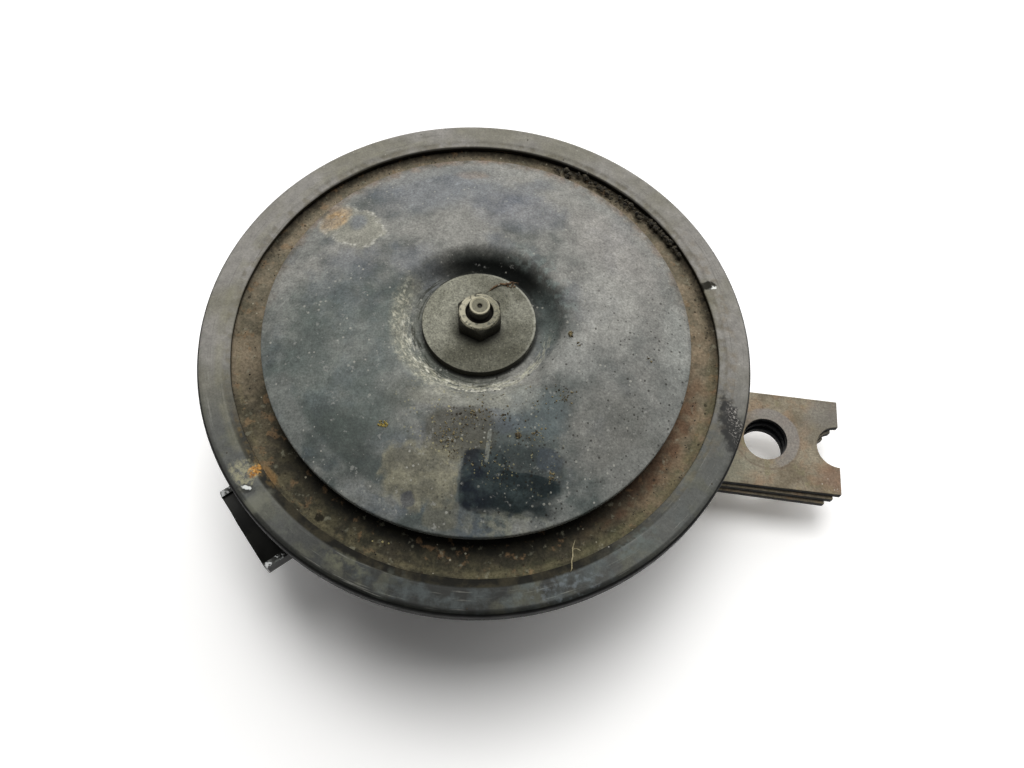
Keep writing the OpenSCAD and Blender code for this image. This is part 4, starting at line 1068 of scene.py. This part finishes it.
def grains(name: str, centres: Array, sizes: Array, seed: int) -> bpy.types.Object:
    """A scatter of small stones as one mesh.

    Each stone is an icosahedron whose twelve corners are pushed in or out, stretched by its own three factors
    and turned by its own random rotation.

    Args:
        name: the piece's name.
        centres: (stones, 3) places in millimetres.
        sizes: mean radius of each stone.
        seed: which random draw.

    Returns:
        The new object.
    """
    dents, stretches = (0.7, 1.3), (0.6, 1.4)
    rng = np.random.default_rng(seed)
    golden = (1 + 5**0.5) / 2
    signs = np.array([[-1, 1], [1, 1], [-1, -1], [1, -1]]) * [1, golden]
    ball = np.vstack([np.insert(signs, place, 0, axis=1) for place in (2, 0)] + [
        np.column_stack([signs[:, 1], np.zeros(4), signs[:, 0]])])
    ball /= np.linalg.norm(ball[0])
    gaps = np.linalg.norm(ball[:, None] - ball[None], axis=2)
    near = np.isclose(gaps, np.sort(gaps[0])[1])
    first, second, third = np.nonzero(near[:, :, None] & near[:, None, :] & near[None, :, :])
    rows = np.column_stack([first, second, third])[(first < second) & (second < third)]
    outward = np.einsum("ij,ij->i", np.cross(ball[rows[:, 0]], ball[rows[:, 1]]), ball[rows[:, 2]]) > 0
    rows[~outward] = rows[~outward][:, ::-1]
    count = len(centres)
    corners = ball[None] * rng.uniform(*dents, (count, len(ball), 1)) * rng.uniform(*stretches, (count, 1, 3))
    turns = np.linalg.qr(rng.normal(size=(count, 3, 3)))[0]
    turns *= np.sign(np.linalg.det(turns))[:, None, None]
    places = centres[:, None] + np.einsum("nij,nkj->nki", turns, corners) * sizes[:, None, None]
    faces = rows[None] + (np.arange(count) * len(ball))[:, None, None]
    return placed(name, meshed(name, places.reshape(-1, 3), faces.reshape(-1, 3).tolist()))


def strand(name: str, path: Array, radius: float, sides: int = 8) -> bpy.types.Object:
    """A straw or twig along a path that runs mostly level.

    Each point of the path carries a circle across the path: point + radius (cos a across + sin a up), where
    across is level and square to the path. The radius falls to nothing at both ends.

    Args:
        name: the piece's name.
        path: (points, 3) places in millimetres.
        radius: the strand's radius.
        sides: number of points round it.

    Returns:
        The new object.
    """
    finer, taper, sharp = 6, 5, 60
    marks = np.linspace(0, 1, finer * len(path))
    fine = np.column_stack([np.interp(marks, np.linspace(0, 1, len(path)), path[:, axis]) for axis in range(3)])
    along = np.gradient(fine, axis=0)
    along /= np.linalg.norm(along, axis=1)[:, None]
    across = np.cross(along, [0, 0, 1.0])
    across /= np.linalg.norm(across, axis=1)[:, None]
    up = np.cross(across, along)
    angle = angles(sides)[..., None]
    thick = radius * np.minimum(1, taper * np.minimum(marks, 1 - marks))[:, None, None]
    ring = np.cos(angle) * across[:, None] + np.sin(angle) * up[:, None]
    return skin(name, fine[:, None] + thick * ring, ring=False, sharp=sharp)


class Assembly:
    """A group of pieces. Each kind has methods that build its meshes and dress them."""

    def dress(self, piece: bpy.types.Object, finish: Finishes, body: Body, *nodes: str) -> bpy.types.Object:
        """Gives a piece its finish and its body, and hides the CAD nodes that it stands for.

        Args:
            piece: the new object.
            finish: its finish.
            body: the CAD body that it rides on.
            nodes: the CAD nodes that it replaces.

        Returns:
            The piece.
        """
        piece.data.materials.clear()
        piece.data.materials.append(finish.value.material())
        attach(piece, body.value)
        if nodes:
            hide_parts(*nodes)
        LOG.info("%s: %d points on %s", piece.name, len(piece.data.vertices), body.value)
        return piece

    def soften(self, node: str, finish: Finishes, body: Body, width: float = 0.2) -> bpy.types.Object:
        """Replaces a CAD node by its copy with rounded edges."""
        return self.dress(softened(node, width), finish, body, node)

    def paint(self, finish: Finishes, *nodes: str) -> None:
        """Gives CAD nodes a finish and leaves their shape alone."""
        for node in nodes:
            mesh = frame["nodes"][node].data
            mesh.materials.clear()
            mesh.materials.append(finish.value.material())
            LOG.info("%s: CAD shape in %s", node, finish.value.name)


@dataclass
class ClampRing(Assembly):
    """The clamp ring and the thin pieces that it holds: two gaskets and the diaphragm's edge."""

    face_w: float = 6.6
    lip_w: float = 1.2
    lip_drop: float = 0.35
    bend_r: float = 0.35
    corner_r: float = 1.2
    sheet_t: float = 1.0
    back_w: float = 3.8
    uneven_r: float = 51.0
    uneven_w: float = 3.0
    uneven_z: float = 46.3
    wander: float = 0.05
    sag: float = 0.03
    columns: int = 400

    def outline(self) -> Array:
        """The ring's section: rolled back, outer wall, front face, low lip and hollow inside."""
        outer, low, high = span("clamp_rim")
        face = outer - self.face_w + self.lip_w
        bore = outer - self.face_w
        inner = high - self.lip_drop - self.sheet_t
        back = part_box("rear_housing")[1].x / MM - self.back_w
        corner = np.radians(np.linspace(0, 90, 9))
        arc = self.corner_r * np.column_stack([np.cos(corner), np.sin(corner)])
        rear = np.array([outer - self.corner_r, low + self.corner_r]) + arc[::-1] * [1, -1]
        front = np.array([outer - self.corner_r, high - self.lip_drop - self.corner_r]) + arc
        ledge, wall = high - self.lip_drop, outer - self.sheet_t
        lip = np.array([
            front[-1], [face + 0.6, high - 0.06], [face - 0.1, ledge], [bore, ledge], [bore, inner], [wall, inner],
            [wall, low + self.sheet_t], [back, low + self.sheet_t], [back, low], rear[0]])
        lip = rounded(lip, self.bend_r, closed=False)
        return np.vstack([rear, front[:-1], lip[:-1]])

    def build(self) -> None:
        """Makes the ring with its slightly uneven roll, and paints the gaskets."""
        def uneven(radius: Array, angle: Array, height: Array) -> tuple[Array, Array]:
            """The lip's edge wanders by a few hundredths, and the face is not quite flat."""
            inner = np.clip((self.uneven_r - radius) / self.uneven_w, 0, 1) * (height > self.uneven_z)
            radius = radius + inner * self.wander * (1 + waves(angle, (7, 13, 29), 1))
            return radius, height - inner * self.sag * (1 + waves(angle, (5, 11, 23), 2))

        line = divided(self.outline(), 0.5)
        self.dress(turned("clamp_ring", line, self.columns, ripple=uneven), Finishes.RING, Body.HORN, "clamp_rim")
        self.paint(Finishes.GASKET, "front_gasket", "rear_gasket")


@dataclass
class Diaphragm(Assembly):
    """The thin steel diaphragm: clamped edge, step, cone and flat centre."""

    sheet_t: float = 0.5
    step: float = 0.5
    step_w: float = 0.9
    seat_w: float = 5.1
    flat_r: float = 16.0
    hole_r: float = 2.55
    bend_r: float = 0.12
    still_depth: float = 0.2
    mesh_step: float = 1.0
    columns: int = 300

    def build(self) -> None:
        """Makes the diaphragm that spans from its clamped edge to the striker."""
        outer, low, high = span("diaphragm")
        step_r = outer - self.seat_w
        top_edge = low + self.sheet_t + self.step
        top = np.array([
            [outer, top_edge], [step_r, top_edge], [step_r - self.step_w, low + self.sheet_t],
            [self.flat_r, high], [self.hole_r, high]])
        outline = np.vstack([top, top[::-1] - [0, self.sheet_t]])
        line = divided(rounded(outline, self.bend_r), self.mesh_step)
        piece = turned("diaphragm_sheet", line, self.columns)
        piece.data.materials.append(Finishes.DIAPHRAGM.value.material())
        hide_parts("diaphragm")
        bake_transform(piece)


@dataclass
class ResonatorDisc(Assembly):
    """The resonator disc: a flat seat, a bowl wall up to a crest and a dome down to the edge."""

    sheet_t: float = 1.5
    hole_r: float = 2.55
    seat_r: float = 12.9
    crest_r: float = 18.0
    crest_h: float = 2.7
    fall: float = 3.9
    dome_power: float = 1.6
    wave_h: float = 0.04
    columns: int = 360

    def dome(self, radius: Array) -> Array:
        """How far out on the dome a place is, from 0 at the crest to 1 at the edge."""
        return np.clip((radius - self.crest_r) / (span("resonator_disc")[0] - self.crest_r), 0, 1)

    def top(self, radius: Array) -> Array:
        """Height of the front face.

        With t running from 0 to 1 across the bowl wall the rise is crest_h (1 - cos 180 t) / 2, and across
        the dome the height is crest_h - fall t^power.
        """
        high = span("resonator_disc")[2]
        seat = high - self.crest_h
        bowl = np.clip((radius - self.seat_r) / (self.crest_r - self.seat_r), 0, 1)
        rise = self.crest_h * (1 - np.cos(np.pi * bowl)) / 2
        return seat + rise - self.fall * self.dome(radius) ** self.dome_power

    def lay(self, at: Array, above: Array) -> Array:
        """Places above the front face, from rows of (x, y) and the heights over it."""
        return np.column_stack([at, self.top(np.hypot(at[:, 0], at[:, 1])) + above])

    def build(self) -> None:
        """Makes the disc with a face that is a little uneven, as pressed sheet is."""
        edge_r = span("resonator_disc")[0]
        radii = np.unique(np.concatenate([
            np.linspace(self.hole_r, self.seat_r, 12), np.linspace(self.seat_r, self.crest_r, 22),
            np.linspace(self.crest_r, edge_r, 46)]))
        face = np.column_stack([radii, self.top(radii)])
        under = face[::-1] - [0, self.sheet_t]
        corner = rounded(np.array([face[-2], face[-1], under[0], under[1]]), 0.25, closed=False)
        line = np.vstack([face[:-1], corner[1:-1], under[1:]])

        def pressed(radius: Array, angle: Array, height: Array) -> tuple[Array, Array]:
            """Broad shallow waves across the dome."""
            return radius, height - self.wave_h * self.dome(radius) * (1 + waves(angle, (2, 3, 5), 3))

        piece = turned("resonator_disc_sheet", line, self.columns, ripple=pressed)
        self.dress(piece, Finishes.DISC, Body.STRIKER, "resonator_disc")


@dataclass
class StrikerHub(Assembly):
    """What clamps the disc: plate washer, hexagon nut and the threaded end of the stem."""

    hole_r: float = 2.55
    thread_pitch: float = 0.8
    thread_depth: float = 0.42
    nut_flats: float = 8.0
    nut_turn: float = 10.0
    recess: float = 0.7
    neck_r: float = 1.95

    def build(self) -> None:
        """Makes the washer, the nut and the stem, and paints the washers behind the disc."""
        outer, low, high = span("resonator_washer")
        washer = np.array([[self.hole_r, low], [outer, low], [outer, high - 0.05], [outer - 0.35, high],
                           [self.hole_r, high]])
        piece = turned("plate_washer", divided(rounded(washer, 0.18), 1.0), 160)
        self.dress(piece, Finishes.DUSTY_STEEL, Body.STRIKER, "resonator_washer")
        _, low, high = span("stem_nut")
        crown = np.array([[self.hole_r, 0.5], [2.7, 0.12], [2.95, 0.02], [3.15, 0.06], [3.35, 0.12], [3.55, 0.03],
                          [3.75, 0.04], [3.9, 0.2], [3.96, 0.5]])
        nut = hexagon_nut("hexagon_nut", self.nut_flats, low, high, self.hole_r, self.nut_turn, crown)
        self.dress(nut, Finishes.DUSTY_STEEL, Body.STRIKER, "stem_nut")
        shoulder = high - self.recess
        radius, low, high = span("stem")
        neck = self.neck_r
        end = np.array([[neck + 0.05, shoulder + 0.05], [neck, shoulder + 0.3], [neck, high - 0.15],
                        [neck - 0.08, high], [neck - 0.25, high], [neck - 0.4, high - 0.12], [0.5, high - 0.12],
                        [0.35, high - 0.5], [0.0, high - 0.55]])
        stem = threaded_rod("threaded_stem", radius, low, shoulder, self.thread_pitch, self.thread_depth, end=end)
        self.dress(stem, Finishes.DUSTY_STEEL, Body.STRIKER, "stem")
        self.paint(Finishes.PLAIN_STEEL, "spacer_bush", "front_washer", "rear_washer")
        self.paint(Finishes.SOFT_IRON, "armature")


def hexagon_nut(name: str, flats: float, low: float, high: float, bore: float, turn: float,
                crown: Array) -> bpy.types.Object:
    """A hexagon nut with chamfered corners.

    The side's radius at angle a is flats / 2 over the 40-norm of the cosines of a, a - 60 and a - 120, which
    rounds the six corners a little. The upper chamfer is a cone from the crown's last point, and the lower
    one starts at the inscribed circle.

    Args:
        name: the piece's name.
        flats: size across the flats.
        low: height of the lower face.
        high: height of the upper face.
        bore: radius of the hole.
        turn: angle of the first flat.
        crown: the upper face's round part from the hole outwards, as rows of (radius, depth below high).

    Returns:
        The new object.
    """
    columns, power, slope, lead_in, edge, sharp = 240, 40, 0.6, 0.3, 0.03, 40
    angle = angles(columns)
    cosines = np.abs(np.cos(angle[..., None] - np.radians([turn, turn + 60, turn + 120])))
    side = flats / 2 / (cosines**power).sum(-1) ** (1 / power)
    even = np.ones_like(side)
    circle = flats / 2 - edge
    fall, rise = (side - crown[-1, 0]) * slope, (side - circle) * slope
    shoulder = high - crown[-1, 1]
    radius = np.vstack([even * bore, crown[:, :1] * even, side - edge, side, side, side - edge, even * circle,
                        even * (circle - 0.1), even * (bore + lead_in)])
    height = np.vstack([even * (low + lead_in), (high - crown[:, 1:]) * even, shoulder - fall,
                        shoulder - fall - 2 * edge, low + rise + 2 * edge, low + rise, even * (low + 0.02),
                        even * low, even * low])
    return skin(name, around(radius, angle, height), ring=True, sharp=sharp)


def threaded_rod(name: str, radius: float, low: float, high: float, pitch: float, depth: float,
                 chamfer: float = 0.5, end: Optional[Array] = None) -> bpy.types.Object:
    """A rod with a thread cut into it.

    At height z and angle a the phase is the fraction of z / pitch - a / 360, and the cut's depth follows a
    triangle wave of the phase whose crests are flattened. The ends are chamfered.

    Args:
        name: the piece's name.
        radius: radius of the thread's crests.
        low: height of the thread's lower end.
        high: height of its upper end.
        pitch: distance between the turns.
        depth: depth of the thread.
        chamfer: size of the chamfer at both ends.
        end: a plain round end above the thread as rows of (radius, height), the last one on the axis.

    Returns:
        The new object.
    """
    columns, per_turn, crest = 64, 10, 0.15
    rows = int((high - low) / pitch * per_turn)
    z = np.linspace(low, high, rows)[:, None]
    angle = angles(columns)
    phase = (z / pitch - angle / (2 * np.pi)) % 1
    cut = np.clip(np.abs(2 * phase - 1) * (1 + 2 * crest) - crest, 0, 1)
    ends = np.clip(chamfer - np.minimum(z - low, high - z), 0, chamfer)
    last = np.array([[0.0, high]]) if end is None else end
    even = np.ones((1, columns))
    r = np.vstack([even * 0, np.minimum(radius - depth * cut, radius - ends), last[:, :1] * even])
    height = np.vstack([even * low, z * even, last[:, 1:] * even])
    return skin(name, around(r, angle, height), ring=False)


@dataclass
class Housing(Assembly):
    """The rear housing with what is riveted and screwed to it."""

    stud_r: float = 4.0
    stud_end: float = 17.2
    stud_pitch: float = 1.25
    stud_depth: float = 0.65
    collar_r: float = 13.0
    collar_t: float = 1.5
    core_r: float = 8.0
    nut_flats: float = 13.0
    nut_turn: float = 20.0
    wire_pitch: float = 0.6
    wire_depth: float = 0.16
    wire_points: int = 8
    winding_t: float = 7.1
    winding_end: float = 0.3
    bend_w: float = 3.0
    bend_cuts: int = 6

    def build(self) -> None:
        """Dresses the housing, the magnet inside it, the adjusting screw and the stud."""
        self.soften("rear_housing", Finishes.HOUSING, Body.HORN, 0.25)
        self.stud()
        self.winding()
        self.spring_arm()
        self.soften("lock_washer", Finishes.PLATED, Body.HORN, 0.12)
        self.soften("frame_rivets", Finishes.PLATED, Body.HORN, 0.2)
        self.paint(Finishes.SOFT_IRON, "magnet_frame")
        self.paint(Finishes.PLATED, "breaker_rivets", "clamp_plate")
        self.paint(Finishes.BOBBIN, "coil_bobbin")
        self.paint(Finishes.FIBRE, "lower_insulator", "middle_insulator", "top_insulator", "push_peg")
        self.paint(Finishes.BRONZE, "fixed_arm")
        self.paint(Finishes.CONTACT, "moving_contact", "fixed_contact")
        self.soften("adjusting_screw", Finishes.SCREW_BRASS, Body.ADJUSTER, 0.12)
        self.paint(Finishes.RUBBER, "adjuster_grommet")
        self.paint(Finishes.LEAD, "supply_lead", "return_lead", "coil_lead")

    def stud(self) -> None:
        """Makes the threaded rear stud, the core that it is one with, and its hexagon nut."""
        _, low, high = span("core_stud")
        rod = threaded_rod("rear_stud", self.stud_r, low, self.stud_end, self.stud_pitch, self.stud_depth, 0.7)
        self.dress(rod, Finishes.PLATED, Body.HORN, "core_stud")
        step = self.stud_end + self.collar_t
        line = np.array([[0, self.stud_end], [self.collar_r, self.stud_end], [self.collar_r, step],
                         [self.core_r, step], [self.core_r, high], [0, high]])
        core = turned("magnet_core", divided(rounded(line, 0.3, closed=False), 1.0), 96, ring=False)
        self.dress(core, Finishes.SOFT_IRON, Body.HORN, "core_stud")
        _, low, high = span("stud_nut")
        crown = np.array([[self.stud_r, 0.6], [self.stud_r + 0.5, 0.03], [5.7, 0.0], [5.95, 0.12]])
        nut = hexagon_nut("stud_hexagon_nut", self.nut_flats, low, high, self.stud_r, self.nut_turn, crown)
        self.dress(nut, Finishes.PLATED, Body.HORN, "stud_nut")

    def winding(self) -> None:
        """Makes the copper winding.

        Its outer wall dips by wire_depth (1 - |sin(180 z / pitch)|) between the turns of wire.
        """
        outer, low, high = span("coil_winding")
        inner = outer - self.winding_t
        z = np.arange(low + self.winding_end, high - self.winding_end, self.wire_pitch / self.wire_points)
        wall = outer - self.wire_depth * (1 - np.abs(np.sin(np.pi * z / self.wire_pitch)))
        start, end = [[inner, high], [inner, low], [wall[0], low]], [[wall[-1], high]]
        line = np.vstack([start, np.column_stack([wall, z]), end])
        self.dress(turned("wire_winding", line, 96, sharp=80), Finishes.COPPER, Body.HORN, "coil_winding")

    def spring_arm(self) -> None:
        """Makes the moving contact's spring arm, with extra cuts across a short width beside its clamp."""
        hinge = next(joint for joint in frame["record"]["behaviour"]["joints"] if joint["name"] == "breaker_flex")
        across = hinge["pos_m"][1]
        reach = self.bend_w / 2 * MM
        shape = welded(frame["nodes"]["moving_arm"].data)
        for y in np.linspace(across - reach, across + reach, self.bend_cuts):
            everything = shape.verts[:] + shape.edges[:] + shape.faces[:]
            bmesh.ops.bisect_plane(shape, geom=everything, plane_co=(0, y, 0), plane_no=(0, 1, 0))
        mesh = bpy.data.meshes.new("spring_arm")
        shape.to_mesh(mesh)
        shape.free()
        arm = placed("spring_arm", mesh)
        mesh.materials.append(Finishes.BRONZE.value.material())
        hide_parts("moving_arm")
        across - reach
        across + reach
        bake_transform(arm)


@dataclass
class Connector(Assembly):
    """The black moulded connector with its gasket, rivets and blades."""

    direction: float = 222.5
    rim: float = 1.0
    bow: float = 0.9

    def build(self) -> None:
        """Dresses the connector's pieces.

        The mouth's rim bows outwards: out + bow (1 - (side / half width)^2).
        """
        shroud = softened("connector_shroud", 0.25)
        turn = math.radians(self.direction)
        frame_turn = np.array([[math.cos(turn), math.sin(turn)], [-math.sin(turn), math.cos(turn)]])
        places = np.empty(3 * len(shroud.data.vertices))
        shroud.data.vertices.foreach_get("co", places)
        places = places.reshape(-1, 3) / MM
        out, side = frame_turn @ places[:, :2].T
        mouth = out > out.max() - self.rim
        side = side - (side[mouth].max() + side[mouth].min()) / 2
        half = np.abs(side[mouth]).max()
        moved = np.where(mouth, self.bow * (1 - (side / half) ** 2), 0)
        places[:, :2] += moved[:, None] * frame_turn[0]
        shroud.data.vertices.foreach_set("co", (places * MM).ravel())
        self.dress(shroud, Finishes.PLASTIC, Body.HORN, "connector_shroud")
        self.paint(Finishes.RUBBER, "connector_gasket")
        self.soften("connector_rivets", Finishes.PLATED, Body.HORN, 0.2)
        for terminal in ("left_terminal", "right_terminal"):
            self.soften(terminal, Finishes.TERMINAL, Body.HORN, 0.12)


@dataclass
class Bracket(Assembly):
    """The three-leaf bracket, whose rear leaves have slipped round the stud by a little."""

    edge_r: float = 0.18
    slip: float = -0.45

    def build(self) -> None:
        """Dresses the three leaves."""
        for place, node in enumerate(("front_leaf", "middle_leaf", "rear_leaf")):
            leaf = softened(node, self.edge_r)
            leaf.data.transform(Matrix.Rotation(math.radians(place * self.slip), 4, "Z"))
            self.dress(leaf, Finishes.BRACKET, Body.BRACKET, node)


@dataclass
class RoadDust(Assembly):
    """The loose dirt: gravel in the groove round the disc, grit on the disc, a twig and a straw.

    Each clump of grit on the disc has the x and y of its centre, its reach and its number of grains. Those with
    a reach under coarse_reach are of grains that are larger by the factor coarse.
    """

    groove: tuple[float, float] = (43.9, 48.0)
    groove_z: float = 46.5
    clump: tuple[float, float] = (32.0, 76.0)
    clumps: tuple[tuple[float, float, float, int], ...] = (
        (17.7, -14.0, 2.2, 48), (13.5, -22.3, 1.6, 30), (16.8, -29.2, 1.2, 24), (7.1, -19.6, 1.3, 26),
        (33.4, -3.2, 1.1, 12), (17.9, -0.9, 0.5, 4), (19.4, -2.7, 0.6, 5),
        (-1.0, -21.5, 4.4, 90), (10.0, -22.8, 0.7, 5), (-3.0, -24.6, 2.6, 70), (2.5, -19.8, 3.0, 50),
        (-1.5, -28.2, 1.6, 30), (4.0, -27.0, 6.0, 40), (12.0, -16.0, 6.0, 46))
    gold: tuple[float, float, float, int] = (-14.6, -23.6, 1.1, 30)
    gravel_seeds: tuple[int, int] = (11, 12)
    thick: int = 170
    thick_size: tuple[float, float] = (0.12, 0.5)
    thick_power: float = 2.2
    fine: int = 260
    fine_size: tuple[float, float] = (0.07, 0.18)
    heap_inner: float = 1.9
    heap_outer: float = 0.4
    narrow: float = 0.5
    narrow_to: float = 48.0
    sunk: float = 0.45
    grit_seeds: tuple[int, int, int] = (21, 22, 23)
    grit_size: tuple[float, float] = (0.05, 0.17)
    grit_spread: float = 0.45
    coarse_reach: float = 0.8
    coarse: float = 2.5
    gold_size: tuple[float, float] = (0.08, 0.24)
    gold_spread: float = 0.4
    buried: float = 0.25
    litter_seeds: tuple[int, int] = (31, 32)
    crumbs: int = 16
    crumb_size: tuple[float, float] = (0.1, 0.3)

    def gravel(self) -> None:
        """Scatters stones in the groove: a thick clump at the far right and fine ones all the way round."""
        rng = np.random.default_rng(self.gravel_seeds[0])
        thick, fine = self.thick, self.fine
        turn = np.radians(np.concatenate([rng.uniform(*self.clump, thick), rng.uniform(0, 360, fine)]))
        least, more = self.thick_size
        size = np.concatenate([
            least + more * rng.uniform(0, 1, thick) ** self.thick_power, rng.uniform(*self.fine_size, fine)])
        inner, outer = self.groove
        reach = np.concatenate([
            rng.triangular(inner + self.heap_inner, outer - self.heap_outer, outer, thick),
            rng.uniform(inner, outer, fine)])
        reach += (outer - reach) * self.narrow * (turn < math.radians(self.narrow_to))
        height = self.groove_z + size * self.sunk
        centres = np.column_stack([reach * np.cos(turn), reach * np.sin(turn), height])
        gravel = grains("groove_gravel", centres, size, self.gravel_seeds[1])
        self.dress(gravel, Finishes.GRAVEL, Body.HORN)

    def grit(self, disc: ResonatorDisc) -> None:
        """Lays the grit on the disc's face, in small clusters."""
        draw, grit_seed, gold_seed = self.grit_seeds
        rng = np.random.default_rng(draw)
        table = np.array(self.clumps)
        x_y, reach = table[:, :2], table[:, 2:3]
        owner = np.repeat(np.arange(len(table)), table[:, 3].astype(int))
        at = x_y[owner] + rng.normal(size=(owner.size, 2)) * reach[owner] * self.grit_spread
        least, more = self.grit_size
        size = least + more * rng.uniform(0, 1, owner.size) ** 2
        size[table[owner, 2] < self.coarse_reach] *= self.coarse
        grit = grains("disc_grit", disc.lay(at, size * self.buried), size, grit_seed)
        self.dress(grit, Finishes.GRIT, Body.STRIKER)
        x, y, reach, count = self.gold
        at = np.array([x, y]) + rng.normal(size=(count, 2)) * reach * self.gold_spread
        size = rng.uniform(*self.gold_size, count)
        gold = grains("yellow_grit", disc.lay(at, size * self.buried), size, gold_seed)
        self.dress(gold, Finishes.GOLD, Body.STRIKER)

    def litter(self) -> None:
        """Lays the twig on the plate washer and the straw over the ring's lip."""
        top = span("resonator_washer")[2]
        twig = np.array([[0.8, 6.7, 0.1], [2.0, 8.0, 0.3], [3.2, 8.8, 0.45], [4.4, 8.9, 0.3], [5.3, 9.5, 0.4],
                         [6.6, 9.6, 0.2]])
        self.dress(strand("washer_twig", twig + [0, 0, top], 0.2), Finishes.MUD, Body.STRIKER)
        rng = np.random.default_rng(self.litter_seeds[0])
        at = np.array([4.9, 9.1]) + rng.normal(size=(self.crumbs, 2)) * [0.9, 0.35]
        places = np.column_stack([at, np.full(self.crumbs, top + 0.1)])
        size = rng.uniform(*self.crumb_size, self.crumbs)
        crumbs = grains("twig_crumbs", places, size, self.litter_seeds[1])
        self.dress(crumbs, Finishes.MUD, Body.STRIKER)
        straw = np.array([[22.5, -38.6, 46.75], [22.15, -40.4, 46.85], [22.3, -41.8, 46.8], [22.1, -42.9, 47.4],
                          [22.2, -44.3, 47.9], [22.0, -45.1, 47.9]])
        self.dress(strand("lip_straw", straw, 0.12), Finishes.STRAW, Body.HORN)
        fork = np.array([[22.1, -40.6, 46.9], [22.8, -40.4, 47.1], [23.7, -40.7, 47.0]])
        self.dress(strand("straw_fork", fork, 0.09), Finishes.STRAW, Body.HORN)

    def build(self) -> None:
        """Makes all of the dirt."""
        self.gravel()
        self.grit(ResonatorDisc())
        self.litter()


@dataclass
class Studio:
    """The pale floor, the soft light and the camera, which are not part of the horn."""

    elevation: float = 63.74
    roll: float = 6.87
    eye: tuple[float, float, float] = (7.75, -86.97, 204.8)
    focal_px: float = 900.0
    image_px: float = 1024.0
    sensor: float = 36.0
    floor_half: float = 4000.0
    floor_colour: Colour = (247, 246, 244)
    floor_gain: float = 0.3
    bright_side: tuple[float, float, float] = (0.15, 0.75, 0.66)
    sky_turn: tuple[float, float] = (0.5, 1.0)
    sky_level: tuple[float, float] = (0.12, 1.6)
    sky_seen: float = 0.95
    sky_colour: Colour = (255, 255, 255)
    lamp_power: float = 4.2
    lamp_side: float = 0.4
    lamp_place: tuple[float, float, float] = (-30.0, 135.0, 890.0)

    def camera(self) -> None:
        """Sets the camera at the photograph's viewing angle."""
        tilt, roll = math.radians(self.elevation), math.radians(self.roll)
        forward = Vector((0, math.cos(tilt), -math.sin(tilt)))
        level_up = Vector((0, math.sin(tilt), math.cos(tilt)))
        right = math.cos(roll) * Vector((1, 0, 0)) + math.sin(roll) * level_up
        up = right.cross(forward)
        lens = bpy.data.cameras.new("view")
        lens.sensor_width = self.sensor
        lens.lens = self.focal_px / self.image_px * self.sensor
        eye = placed("view", lens)
        turn = Matrix((right, up, -forward)).transposed().to_4x4()
        eye.matrix_world = Matrix.Translation(Vector(self.eye) * MM) @ turn
        bpy.context.scene.camera = eye

    def floor(self) -> None:
        """Lays the pale floor under the stud's end.

        What the camera sees of it is a little paler than what lights the horn, so that its open part is white.
        """
        corners = np.array([[-1, -1, 0], [1, -1, 0], [1, 1, 0], [-1, 1, 0]]) * self.floor_half
        floor = placed("floor", meshed("floor", corners, [(0, 1, 2, 3)]))
        s = Shader("pale_floor")
        lit = s.node("ShaderNodeBsdfPrincipled", None, {"Base Color": self.floor_colour, "Roughness": 0.9})
        extra = s.rays("Camera", "Glossy", "Transmission") * self.floor_gain
        bright = s.node("ShaderNodeBsdfDiffuse", None, {"Color": extra})
        both = s.node("ShaderNodeAddShader", None, {0: lit.outputs[0], 1: bright.outputs[0]})
        s.node("ShaderNodeOutputMaterial", None, {"Surface": both.outputs[0]})
        floor.data.materials.append(s.material)

    def light(self) -> None:
        """Lights the horn with a sky that is bright towards the far side and dark towards the viewer."""
        world = bpy.data.worlds.new("sky")
        bpy.context.scene.world = world
        sky = Graph(world)
        at = sky.node("ShaderNodeTexCoord").outputs["Generated"]
        towards = sky.node("ShaderNodeVectorMath", {"operation": "DOT_PRODUCT"}, {
            0: at, 1: Vector(self.bright_side).normalized()}).outputs["Value"]
        settings = {"interpolation_type": "SMOOTHSTEP"}
        inputs = dict(enumerate((towards, *self.sky_turn, *self.sky_level)))
        level = sky.node("ShaderNodeMapRange", settings, inputs).outputs[0]
        seen = sky.rays("Camera", "Transmission")
        shown = sky.node("ShaderNodeMix", None, {0: seen, 2: level, 3: self.sky_seen}).outputs[0]
        light = sky.node("ShaderNodeBackground", None, {"Color": self.sky_colour, "Strength": shown})
        sky.node("ShaderNodeOutputWorld", None, {"Surface": light.outputs[0]})
        data = bpy.data.lights.new("soft_lamp", "AREA")
        data.shape = "SQUARE"
        data.size = self.lamp_side
        data.energy = self.lamp_power
        lamp = placed("soft_lamp", data)
        place = Vector(self.lamp_place) * MM
        lamp.matrix_world = Matrix.Translation(place) @ (-place).to_track_quat("-Z", "Y").to_matrix().to_4x4()

    def build(self) -> None:
        """Makes the studio, and chooses the plain view transform."""
        self.camera()
        self.floor()
        self.light()
        bpy.context.scene.view_settings.view_transform = "Standard"


def main() -> None:
    logging.basicConfig(level=logging.INFO, format="%(name)s: %(message)s")
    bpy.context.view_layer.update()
    Studio().build()
    for assembly in (ClampRing(), Diaphragm(), ResonatorDisc(), StrikerHub(), Housing(), Connector(), Bracket(),
                     RoadDust()):
        assembly.build()


if __name__ == "__main__":
    main()
